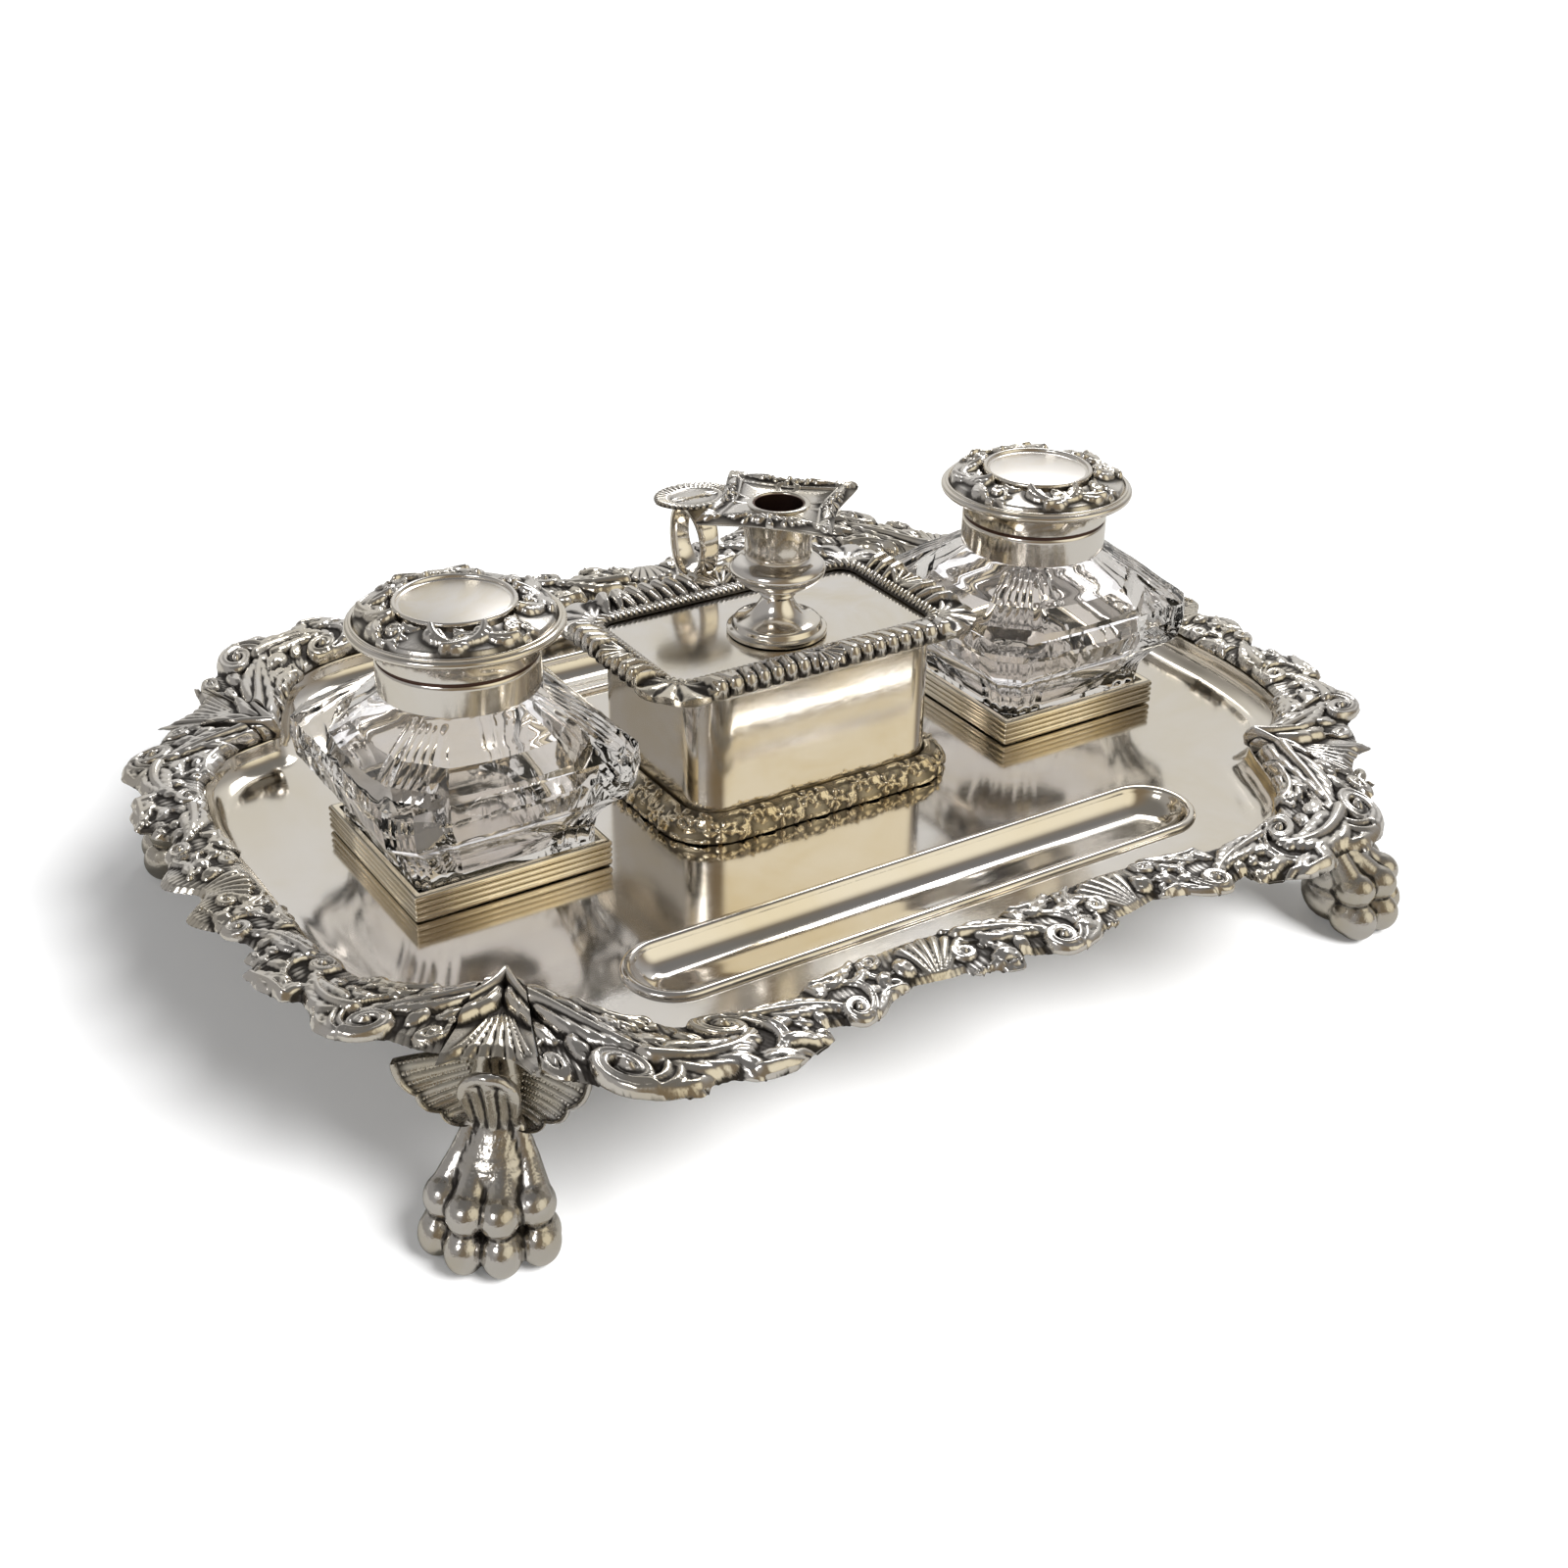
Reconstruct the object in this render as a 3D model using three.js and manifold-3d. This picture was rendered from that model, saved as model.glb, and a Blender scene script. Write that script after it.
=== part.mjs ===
// Desk inkstand in plated metal and cut glass: a serpentine tray on four paw feet, with a cast
// scroll border, two bottles in square galleries, and a covered box that carries a taper holder.
// Millimetres, +Z up. The origin is on the ground under the middle of the tray, the length runs
// along X and the front is towards -Y.

import * as THREE from 'three';
import { mergeVertices } from 'three/addons/utils/BufferGeometryUtils.js';
import Module from 'manifold-3d';

const wasm = await Module();
wasm.setup();

// Fits
const SEAM = 0.3;
const SLIP = 0.6;
const SMOOTHING = 0.2;
const OVERRUN = 4;

// Tray
const FLOOR_TOP = 43;
const SHEET = 1.6;
const RIM_RISE = 7;
const COVE_RUN = 8;
const LEDGE = 7.5;
const LAP = 2;
const RIM_HALF_LENGTH = 154;
const RIM_HALF_WIDTH = 113;
const BORDER_WIDTH = 22;
const EDGE_HALF_LENGTH = RIM_HALF_LENGTH + BORDER_WIDTH;
const EDGE_HALF_WIDTH = RIM_HALF_WIDTH + BORDER_WIDTH;

// Pen troughs
const TROUGH_HALF_LENGTH = 91;
const TROUGH_HALF_WIDTH = 14;
const TROUGH_CENTRE = 80;
const TROUGH_DEPTH = 4.6;
const TROUGH_BEAD = 1.5;
const TROUGH_BEAD_WIDTH = 3.2;
const TROUGH_SLOPE_RUN = 6;

// Cast border
const BORDER_EDGE_THICKNESS = 1.8;
const BORDER_INNER_THICKNESS = 1.5;
const BORDER_CREST = 2.4;
const BORDER_LOBE = 1.1;
const BORDER_SCALLOP = 1.6;
const BORDER_EDGE_LIFT = 0.8;

// Paw feet
const FOOT_END_INSET = 14;
const FOOT_SIDE_INSET = 10;
const FOOT_X = RIM_HALF_LENGTH - FOOT_END_INSET;
const FOOT_Y = RIM_HALF_WIDTH - FOOT_SIDE_INSET;
const LEG_SETBACK_X = 6.5;
const LEG_SETBACK_Y = 7.7;
const PAW_HALF_WIDTH = 16;
const PAW_HEIGHT = 25;
const PAW_SOLE_CUT = 1.2;
const ANKLE_HEIGHT = 29;
const ANKLE_RADIUS = 6.6;
const LEG_TOP_RADIUS = 9;
const WING_HALF_SPAN = 25;
const WING_DROP = 15;
const WING_THICKNESS = 2.6;

// Galleries and bottles
const BOTTLE_X = 95;
const GALLERY_SIDE = 57;
const GALLERY_HEIGHT = 7.6;
const GALLERY_WALL = 1.4;
const REED_DEPTH = 0.7;
const REED_COUNT = 4;
const BOTTLE_BELLY_SIDE = 72;
const BOTTLE_BELLY_HEIGHT = 30;
const BOTTLE_SHOULDER_SIDE = 57;
const BOTTLE_SHOULDER_HEIGHT = 46.5;
const BOTTLE_CORNER = 5;
const BOTTLE_FLOOR = 6;
const BOTTLE_WALL = 6.5;
const NECK_RADIUS = 20;
const NECK_BASE = 50;
const NECK_TOP = 58.2;
const MOUTH_RADIUS = 15;
const FLUTE_COUNT = 5;
const FLUTE_DEPTH = 1.1;

// Collars and lids
const COLLAR_WALL = 1.3;
const COLLAR_TOP = 59;
const LID_GAP = 0.7;
const LID_SKIRT_HEIGHT = 7;
const LID_RADIUS = 28.5;
const LID_BEAD = 2.4;
const LID_TOP_RISE = 7.4;
const LID_DISC_RADIUS = 15;
const LID_RELIEF_HEIGHT = 2.6;
const LID_RELIEF_LOBES = 12;
const KNUCKLE_RADIUS = 1.9;
const KNUCKLE_LENGTH = 4;
const PIN_RADIUS = 0.9;
const PIN_CLEARANCE = 0.1;

// Box
const BOX_LENGTH = 79;
const BOX_WIDTH = 60;
const BOX_CORNER = 10;
const BOX_HEIGHT = 43;
const BOX_WALL = 1.3;
const PLINTH_REACH_X = 8;
const PLINTH_REACH_Y = 6;
const PLINTH_HEIGHT = 7.6;
const PLINTH_LOBE = 0.9;
const PLINTH_LOBE_PITCH = 12.8;

// Box cover
const COVER_REACH_X = 14;
const COVER_REACH_Y = 5;
const COVER_LENGTH = BOX_LENGTH + 2 * COVER_REACH_X;
const COVER_WIDTH = BOX_WIDTH + 2 * COVER_REACH_Y;
const COVER_CORNER = 15;
const COVER_SHEET = 1.3;
const COVER_BORDER_END = 11.5;
const COVER_BORDER_SIDE = 12.5;
const FIELD_LENGTH = COVER_LENGTH - 2 * COVER_BORDER_END;
const FIELD_WIDTH = COVER_WIDTH - 2 * COVER_BORDER_SIDE;
const FIELD_CORNER = 5;
const COVER_BORDER_HEIGHT = 4;
const COVER_BORDER_CREST = 1.6;
const COVER_LOBE_PITCH = 10.8;
const FLANGE_DEPTH = 5;

// Taper holder and nozzle
const TAPER_Y = -5;
const TAPER_FOOT_RADIUS = 14.1;
const TAPER_NECK_RADIUS = 4.4;
const TAPER_BOWL_RADIUS = 13.4;
const SOCKET_RADIUS = 9.7;
const SOCKET_BORE = 8.2;
const SOCKET_DEPTH = 14;
const TAPER_HEIGHT = 36;
const STUD_RADIUS = 2.4;
const NUT_RADIUS = 6;
const NUT_HEIGHT = 3;
const NOZZLE_DIAGONAL = 53;
const NOZZLE_TUBE_LENGTH = 10;
const NOZZLE_BORE = 7;
const NOZZLE_CLEARANCE = 0.3;
const NOZZLE_PAN_THICKNESS = 1.5;
const NOZZLE_BORDER_HEIGHT = 3;
const NOZZLE_BORDER_WIDTH = 6;
const NOZZLE_SIDE_DIP = 2.2;

// Ring handle
const HANDLE_HALF_DEPTH = 9.5;
const HANDLE_HALF_HEIGHT = 11.5;
const HANDLE_BAND = 1.6;
const HANDLE_WIDTH = 7;
const HANDLE_OVERHANG = 5.5;
const THUMB_LENGTH = 26;
const THUMB_WIDTH = 17;
const THUMB_THICKNESS = 1.4;
const THUMB_BEAD = 1.2;

// Shares of the rim and edge half sizes, from the end of the tray round to its long side
const rimShares = [
  [1, 0], [1, 0.1], [1, 0.23], [0.984, 0.4], [0.95, 0.53], [0.883, 0.62], [0.81, 0.652],
  [0.782, 0.664], [0.765, 0.7], [0.727, 0.812], [0.685, 0.912], [0.6, 0.995], [0.48, 1.025],
  [0.37, 1.01], [0.26, 0.978], [0.156, 0.975], [0.065, 0.995], [0, 1]];
const edgeShares = [
  [0.985, 0], [1.025, 0.067], [0.975, 0.178], [0.966, 0.348], [0.95, 0.49], [0.902, 0.6],
  [0.85, 0.7], [0.768, 0.745], [0.742, 0.85], [0.69, 0.935], [0.595, 1.02], [0.49, 1.032],
  [0.39, 0.985], [0.324, 1.008], [0.24, 0.965], [0.16, 0.98], [0.07, 0.975], [0, 1.01]];
const fanShares = [0.359, 0.465];
const QUARTER = rimShares.length - 1;
const [fanFrom, fanTo] = fanShares.map((share) => share * QUARTER);
const ROUND = 4 * QUARTER;
const RIM_STEPS = 68;

// Shares of the paw's half width and height: along, across, up, and the three radii
const toeShares = [
  [0.58, 0.27, 0.27, 0.34, 0.3, 0.29], [0.22, 0.72, 0.27, 0.36, 0.3, 0.28],
  [0.4, 0.25, 0.65, 0.38, 0.29, 0.26], [0.06, 0.64, 0.66, 0.38, 0.29, 0.26]];

const silver = { color: 0xd6d2ca, roughness: 0.22, metalness: 1 };
const oxidised = { color: 0xa9a59c, roughness: 0.38, metalness: 1 };
const crystal = { color: 0xe4eced, roughness: 0.05, metalness: 0, transparent: true, opacity: 0.45 };

// One closed surface from loops of points; loops may close on themselves or be capped at the ends
function skin(loops, capShape) {
  const count = loops[0].length;
  const positions = loops.flat().flatMap((point) => [point.x, point.y, point.z]);
  const index = [];
  const last = capShape ? loops.length - 1 : loops.length;
  for (let i = 0; i < last; i += 1) {
    const a = i * count;
    const b = ((i + 1) % loops.length) * count;
    for (let j = 0; j < count; j += 1) {
      const k = (j + 1) % count;
      index.push(a + j, b + j, b + k, a + j, b + k, a + k);
    }
  }
  if (capShape) {
    const top = (loops.length - 1) * count;
    const turn = THREE.ShapeUtils.isClockWise(capShape);
    for (const [p, q, r] of THREE.ShapeUtils.triangulateShape(capShape, [])) {
      const [first, third] = turn ? [r, p] : [p, r];
      index.push(first, q, third, top + third, top + q, top + first);
    }
  }
  const geometry = new THREE.BufferGeometry();
  geometry.setAttribute('position', new THREE.Float32BufferAttribute(positions, 3));
  geometry.setIndex(index);
  return geometry;
}

// Merges shared vertices, drops collapsed triangles and turns the faces outwards
function tidy(source) {
  const bare = source.clone();
  bare.deleteAttribute('normal');
  bare.deleteAttribute('uv');
  bare.clearGroups();
  const merged = mergeVertices(bare, 1e-4);
  const old = merged.index.array;
  const at = merged.attributes.position;
  const kept = [];
  let volume = 0;
  const [a, b, c] = [new THREE.Vector3(), new THREE.Vector3(), new THREE.Vector3()];
  for (let i = 0; i < old.length; i += 3) {
    const [p, q, r] = [old[i], old[i + 1], old[i + 2]];
    if (p === q || q === r || p === r) continue;
    kept.push(p, q, r);
    a.fromBufferAttribute(at, p);
    b.fromBufferAttribute(at, q);
    c.fromBufferAttribute(at, r);
    volume += a.dot(b.cross(c));
  }
  if (volume < 0) {
    for (let i = 0; i < kept.length; i += 3) {
      [kept[i + 1], kept[i + 2]] = [kept[i + 2], kept[i + 1]];
    }
  }
  merged.setIndex(kept);
  return merged;
}

function solid(geometry) {
  const { attributes, index } = tidy(geometry);
  return new wasm.Manifold(new wasm.Mesh({
    numProp: 3,
    vertProperties: Float32Array.from(attributes.position.array),
    triVerts: Uint32Array.from(index.array),
  }));
}

// Back to a plain shape, without the slivers that cuts leave on large bodies
function shapeOf(body, smoothing = 0) {
  const mesh = (smoothing > 0 ? body.simplify(smoothing) : body).getMesh();
  const geometry = new THREE.BufferGeometry();
  geometry.setAttribute('position', new THREE.BufferAttribute(mesh.vertProperties, 3));
  geometry.setIndex(new THREE.BufferAttribute(mesh.triVerts, 1));
  return geometry;
}

const joined = (...bodies) => bodies.reduce((sum, body) => sum.add(body));

function piece(name, geometry, finish) {
  const shape = tidy(geometry);
  shape.computeVertexNormals();
  const mesh = new THREE.Mesh(shape, new THREE.MeshStandardMaterial(finish));
  mesh.name = name;
  return mesh;
}

// A turned body: profile points are [radius, height]
function turned(profile, segments) {
  const points = profile.map(([radius, height]) => new THREE.Vector2(radius, height));
  return new THREE.LatheGeometry(points, segments).rotateX(Math.PI / 2);
}

function tube(outer, inner, low, high, segments) {
  return turned([[inner, low], [outer, low], [outer, high], [inner, high], [inner, low]], segments);
}

function roundedRectangle(length, width, corner) {
  const [x, y] = [length / 2, width / 2];
  const shape = new THREE.Shape();
  shape.moveTo(corner - x, -y);
  shape.lineTo(x - corner, -y);
  shape.absarc(x - corner, corner - y, corner, -Math.PI / 2, 0);
  shape.lineTo(x, y - corner);
  shape.absarc(x - corner, y - corner, corner, 0, Math.PI / 2);
  shape.lineTo(corner - x, y);
  shape.absarc(corner - x, y - corner, corner, Math.PI / 2, Math.PI);
  shape.lineTo(-x, corner - y);
  shape.absarc(corner - x, corner - y, corner, Math.PI, 1.5 * Math.PI);
  return shape;
}

function slab(shape, low, high, curveSegments = 5) {
  const options = { depth: high - low, bevelEnabled: false, curveSegments };
  return new THREE.ExtrudeGeometry(shape, options).translate(0, 0, low);
}

// Closed outline of the tray from one quarter's shares
function fullRound(shares, halfLength, halfWidth) {
  const quarter = shares.map(([x, y]) => [x * halfLength, y * halfWidth]);
  const points = [];
  for (let k = 0; k < ROUND; k += 1) {
    const side = Math.floor(k / QUARTER);
    const along = k % QUARTER;
    const [x, y] = quarter[side % 2 === 0 ? along : QUARTER - along];
    points.push(new THREE.Vector3(side === 0 || side === 3 ? x : -x, side < 2 ? y : -y, 0));
  }
  return new THREE.CatmullRomCurve3(points, true, 'centripetal');
}

const rimCurve = fullRound(rimShares, RIM_HALF_LENGTH, RIM_HALF_WIDTH);
const edgeCurve = fullRound(edgeShares, EDGE_HALF_LENGTH, EDGE_HALF_WIDTH);
const onCurve = (curve, station) => curve.getPoint((((station / ROUND) % 1) + 1) % 1);

function outwardAt(curve, station) {
  const step = 0.25;
  const ahead = onCurve(curve, station + step).sub(onCurve(curve, station - step));
  return new THREE.Vector3(ahead.y, -ahead.x, 0).normalize();
}

// Carries a section of [outward, height] points round a closed line of stations
function moulding(stations, section) {
  return skin(stations.map(({ point, outward, scale = 1 }) => section.map(([out, height]) => (
    point.clone().addScaledVector(outward, out * scale).setZ(height)))));
}

function trayPlate() {
  const stations = Array.from({ length: RIM_STEPS }, (_, i) => {
    const station = (i * ROUND) / RIM_STEPS;
    return { point: onCurve(rimCurve, station), outward: outwardAt(rimCurve, station) };
  });
  const cove = (turn, sink) => [
    COVE_RUN * (Math.sin(turn) - 1) + sink * Math.sin(turn),
    FLOOR_TOP + RIM_RISE * (1 - Math.cos(turn)) - sink * Math.cos(turn)];
  const turns = [0, 0.55, 1.1];
  const rimTop = FLOOR_TOP + RIM_RISE;
  const section = [
    [-COVE_RUN - LAP, FLOOR_TOP], ...turns.map((turn) => cove(turn, 0)), [0, rimTop],
    [LEDGE, rimTop], [LEDGE, rimTop - SHEET], [SHEET, rimTop - SHEET],
    cove(turns[1], SHEET), [-COVE_RUN - LAP, FLOOR_TOP - SHEET]];
  const floorLine = stations.map(({ point, outward }) => {
    const at = point.clone().addScaledVector(outward, -COVE_RUN - LAP / 2);
    return new THREE.Vector2(at.x, at.y);
  });
  const floor = solid(slab(new THREE.Shape(floorLine), FLOOR_TOP - SHEET, FLOOR_TOP));
  let plate = joined(floor, solid(moulding(stations, section)));
  for (const side of [-1, 1]) {
    plate = plate.subtract(solid(troughOpening(side))).add(penTrough(side));
  }
  return piece('tray_plate', shapeOf(plate, SMOOTHING), silver);
}

function troughStations(side) {
  const straight = TROUGH_HALF_LENGTH - TROUGH_HALF_WIDTH;
  const steps = 5;
  return [1, -1].flatMap((end) => Array.from({ length: steps + 1 }, (_, i) => {
    const angle = (i / steps - 0.5) * Math.PI + (end > 0 ? 0 : Math.PI);
    const outward = new THREE.Vector3(Math.cos(angle), Math.sin(angle), 0);
    const point = outward.clone().multiplyScalar(TROUGH_HALF_WIDTH);
    point.add(new THREE.Vector3(end * straight, side * TROUGH_CENTRE, 0));
    return { point, outward };
  }));
}

function troughLine(side, inset) {
  return new THREE.Shape(troughStations(side).map(({ point, outward }) => {
    const at = point.clone().addScaledVector(outward, -inset);
    return new THREE.Vector2(at.x, at.y);
  }));
}

const troughOpening = (side) => slab(troughLine(side, 0), FLOOR_TOP - OVERRUN, FLOOR_TOP + OVERRUN);

// Raised round rim, sloping wall and flat channel, all in the tray's sheet
function penTrough(side) {
  const low = FLOOR_TOP - TROUGH_DEPTH;
  const inner = TROUGH_BEAD_WIDTH + TROUGH_SLOPE_RUN;
  const section = [
    [LAP, FLOOR_TOP], [0, FLOOR_TOP], [-TROUGH_BEAD_WIDTH * 0.2, FLOOR_TOP + TROUGH_BEAD * 0.8],
    [-TROUGH_BEAD_WIDTH * 0.5, FLOOR_TOP + TROUGH_BEAD],
    [-TROUGH_BEAD_WIDTH * 0.85, FLOOR_TOP + TROUGH_BEAD * 0.6],
    [-TROUGH_BEAD_WIDTH - TROUGH_SLOPE_RUN * 0.45, low + TROUGH_DEPTH * 0.3],
    [-inner, low], [-inner - LAP, low], [-inner - LAP, low - SHEET],
    [-inner, low - SHEET], [-TROUGH_BEAD_WIDTH - TROUGH_SLOPE_RUN * 0.3, low - SHEET * 0.2],
    [-TROUGH_BEAD_WIDTH * 0.5, FLOOR_TOP - SHEET], [LAP, FLOOR_TOP - SHEET]];
  const wall = solid(moulding(troughStations(side), section));
  return joined(wall, solid(slab(troughLine(side, inner + LAP / 2), low - SHEET, low)));
}

// A run of cast border between two stations: lobed crest and scalloped, slightly lifted edge
function borderRun(name, from, to, options) {
  const { steps, lobes, skew } = options;
  const seat = FLOOR_TOP + RIM_RISE + SEAM;
  const acrossShares = [0.15, 0.45, 0.8];
  let capShape;
  const loops = Array.from({ length: steps + 1 }, (_, i) => {
    const travel = i / steps;
    const station = from + (to - from) * travel;
    const inner = onCurve(rimCurve, station);
    const outer = onCurve(edgeCurve, station);
    const scallop = BORDER_SCALLOP * Math.abs(Math.sin(Math.PI * lobes * travel));
    const width = outer.distanceTo(inner) + scallop - BORDER_SCALLOP / 2;
    const outward = outer.clone().sub(inner).normalize();
    const crest = (share) => {
      const wave = Math.cos(2 * Math.PI * (lobes * travel + skew * share));
      const swell = Math.sin(Math.PI * Math.min(1, share * 1.05));
      return BORDER_INNER_THICKNESS + BORDER_CREST * swell + BORDER_LOBE * swell * wave;
    };
    const section = [
      [0, 0], [0, BORDER_INNER_THICKNESS],
      ...acrossShares.map((share) => [share * width, crest(share)]),
      [width, BORDER_EDGE_THICKNESS + BORDER_EDGE_LIFT], [width * 0.97, BORDER_EDGE_LIFT],
      [Math.max(width * 0.6, LEDGE + SEAM), 0]];
    capShape ??= section.map(([out, height]) => new THREE.Vector2(out, height));
    return section.map(([out, height]) => inner.clone().addScaledVector(outward, out)
      .setZ(seat + height));
  });
  return piece(name, skin(loops, capShape), oxidised);
}

function borders() {
  const clear = 0.06;
  const runs = [];
  const corners = ['back_right', 'back_left', 'front_left', 'front_right'];
  const sides = ['back', 'left', 'front', 'right'];
  corners.forEach((corner, k) => {
    const forwards = k % 2 === 0;
    const start = k * QUARTER + (forwards ? fanFrom : QUARTER - fanTo);
    const end = start + fanTo - fanFrom;
    runs.push(borderRun(`corner_fan_${corner}`, start, end, { steps: 12, lobes: 6, skew: 0 }));
    const next = (k + 1) * QUARTER + (forwards ? QUARTER - fanTo : fanFrom);
    const long = forwards;
    runs.push(borderRun(`border_${sides[k]}`, end + clear, next - clear,
      { steps: long ? 40 : 29, lobes: long ? 13.5 : 10, skew: 0.45 }));
  });
  return runs;
}

function ball(x, y, z, rx, ry, rz) {
  return solid(new THREE.SphereGeometry(1, 6, 4).scale(rx, ry, rz).translate(x, y, z));
}

// Leg loft with an oval section; stations are [height, forward, half depth, half width]
function legLoft(stations) {
  const sides = 8;
  return skin(stations.map(([height, forward, depth, width]) => Array.from(
    { length: sides }, (_, i) => {
      const angle = (2 * Math.PI * i) / sides;
      return new THREE.Vector3(forward + depth * Math.cos(angle), width * Math.sin(angle), height);
    })), Array.from({ length: sides }, (_, i) => {
    const angle = (2 * Math.PI * i) / sides;
    return new THREE.Vector2(Math.cos(angle), Math.sin(angle));
  }));
}

// The foot in its own frame: the paw points along +X and the leg stands behind it
function footShape() {
  const reach = Math.hypot(LEG_SETBACK_X, LEG_SETBACK_Y);
  const seat = FLOOR_TOP + RIM_RISE + PAW_SOLE_CUT;
  const wide = PAW_HALF_WIDTH;
  let body = ball(0, 0, PAW_HEIGHT * 0.42, wide * 0.8, wide * 0.82, PAW_HEIGHT * 0.46);
  for (const [along, across, up, deep, broad, tall] of toeShares) {
    for (const side of [-1, 1]) {
      body = body.add(ball(along * wide, side * across * wide, up * PAW_HEIGHT,
        deep * wide, broad * wide, tall * PAW_HEIGHT));
    }
  }
  const leg = legLoft([
    [PAW_HEIGHT * 0.5, 0, ANKLE_RADIUS * 1.5, ANKLE_RADIUS * 1.9],
    [PAW_HEIGHT * 0.9, -reach * 0.3, ANKLE_RADIUS * 1.3, ANKLE_RADIUS * 1.4],
    [ANKLE_HEIGHT, -reach * 0.8, ANKLE_RADIUS, ANKLE_RADIUS],
    [(ANKLE_HEIGHT + seat) / 2, -reach, ANKLE_RADIUS, ANKLE_RADIUS * 1.1],
    [seat, -reach, LEG_TOP_RADIUS * 0.8, LEG_TOP_RADIUS * 1.3]]);
  const wing = wingShape(seat).translate(0, 0, -WING_THICKNESS / 2);
  wing.rotateX(Math.PI / 2).rotateZ(Math.PI / 2).translate(-reach, 0, 0);
  const block = new THREE.BoxGeometry(OVERRUN * wide, OVERRUN * wide, wide);
  block.translate(0, 0, PAW_SOLE_CUT - wide / 2);
  body = joined(body, solid(leg), solid(wing)).subtract(solid(block));
  return shapeOf(body, SMOOTHING).translate(0, 0, -PAW_SOLE_CUT);
}

// Two spread leaves that meet the leg: flat on top, scalloped below
function wingShape(seat) {
  const shares = [[1, 0.12], [0.93, 0.42], [0.8, 0.4], [0.68, 0.72], [0.5, 0.68], [0.36, 0.98]];
  const points = [[-1, 0], [1, 0], ...shares, ...shares.toReversed().map(([x, y]) => [-x, y])];
  const line = points.map(([x, y]) => new THREE.Vector2(x * WING_HALF_SPAN, seat - y * WING_DROP));
  return new THREE.ExtrudeGeometry(new THREE.Shape(line), {
    depth: WING_THICKNESS, bevelEnabled: false });
}

function feet() {
  const shape = footShape();
  const group = new THREE.Group();
  for (const [end, side, name] of [[-1, -1, 'front_left'], [1, -1, 'front_right'],
    [-1, 1, 'back_left'], [1, 1, 'back_right']]) {
    const foot = piece(`paw_foot_${name}`, shape, oxidised);
    foot.position.set(end * FOOT_X, side * FOOT_Y, 0);
    foot.rotation.z = Math.atan2(side * LEG_SETBACK_Y, end * LEG_SETBACK_X);
    group.add(foot);
  }
  return group;
}

const squareCorners = [[1, 1], [-1, 1], [-1, -1], [1, -1]];

// Square fence with half-round reeds on its outer face
function gallery(name, side) {
  const half = GALLERY_SIDE / 2 - REED_DEPTH;
  const low = FLOOR_TOP + SEAM;
  const pitch = GALLERY_HEIGHT / REED_COUNT;
  const reeds = Array.from({ length: REED_COUNT }, (_, i) => [
    [0, low + i * pitch], [REED_DEPTH * 0.85, low + (i + 0.25) * pitch],
    [REED_DEPTH * 0.85, low + (i + 0.75) * pitch]]).flat();
  const section = [[-GALLERY_WALL, low + GALLERY_HEIGHT], [-GALLERY_WALL, low], ...reeds,
    [0, low + GALLERY_HEIGHT]];
  const stations = squareCorners.map(([x, y]) => ({
    point: new THREE.Vector3(side * BOTTLE_X + x * half, y * half, 0),
    outward: new THREE.Vector3(x, y, 0),
  }));
  return piece(name, moulding(stations, section), silver);
}

// Points of a rounded square, so that square and round rings loft into each other
function squareRing(half, corner, height) {
  const perCorner = 5;
  return squareCorners.flatMap(([x, y], k) => Array.from({ length: perCorner }, (_, i) => {
    const angle = (k + i / (perCorner - 1)) * (Math.PI / 2);
    const [cx, cy] = [x * (half - corner), y * (half - corner)];
    return new THREE.Vector3(cx + corner * Math.cos(angle), cy + corner * Math.sin(angle), height);
  }));
}

function squareLoft(rings) {
  const loops = rings.map(([half, corner, height]) => squareRing(half, corner, height));
  return solid(skin(loops, loops[0].map(({ x, y }) => new THREE.Vector2(x, y))));
}

const galleryInside = GALLERY_SIDE / 2 - REED_DEPTH - GALLERY_WALL;

function glassBottle() {
  const base = galleryInside - SLIP;
  const belly = BOTTLE_BELLY_SIDE / 2;
  const shoulder = BOTTLE_SHOULDER_SIDE / 2;
  const low = FLOOR_TOP + SEAM;
  const up = (height) => FLOOR_TOP + height;
  const outside = squareLoft([
    [base, BOTTLE_CORNER, low], [base, BOTTLE_CORNER, low + GALLERY_HEIGHT + SEAM],
    [belly, BOTTLE_CORNER, up(BOTTLE_BELLY_HEIGHT)],
    [belly - FLUTE_DEPTH, BOTTLE_CORNER * 1.4, up(BOTTLE_BELLY_HEIGHT + BOTTLE_CORNER)],
    [shoulder, BOTTLE_CORNER * 2.2, up(BOTTLE_SHOULDER_HEIGHT)],
    [NECK_RADIUS, NECK_RADIUS, up(NECK_BASE)], [NECK_RADIUS, NECK_RADIUS, up(NECK_TOP)]]);
  const inside = squareLoft([
    [base - BOTTLE_WALL, BOTTLE_CORNER * 2, up(BOTTLE_FLOOR)],
    [belly - BOTTLE_WALL, BOTTLE_CORNER * 2.4, up(BOTTLE_BELLY_HEIGHT)],
    [MOUTH_RADIUS, MOUTH_RADIUS, up(BOTTLE_SHOULDER_HEIGHT)],
    [MOUTH_RADIUS, MOUTH_RADIUS, up(NECK_TOP + OVERRUN)]]);
  return cutFlutes(outside.subtract(inside), base, belly);
}

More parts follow.
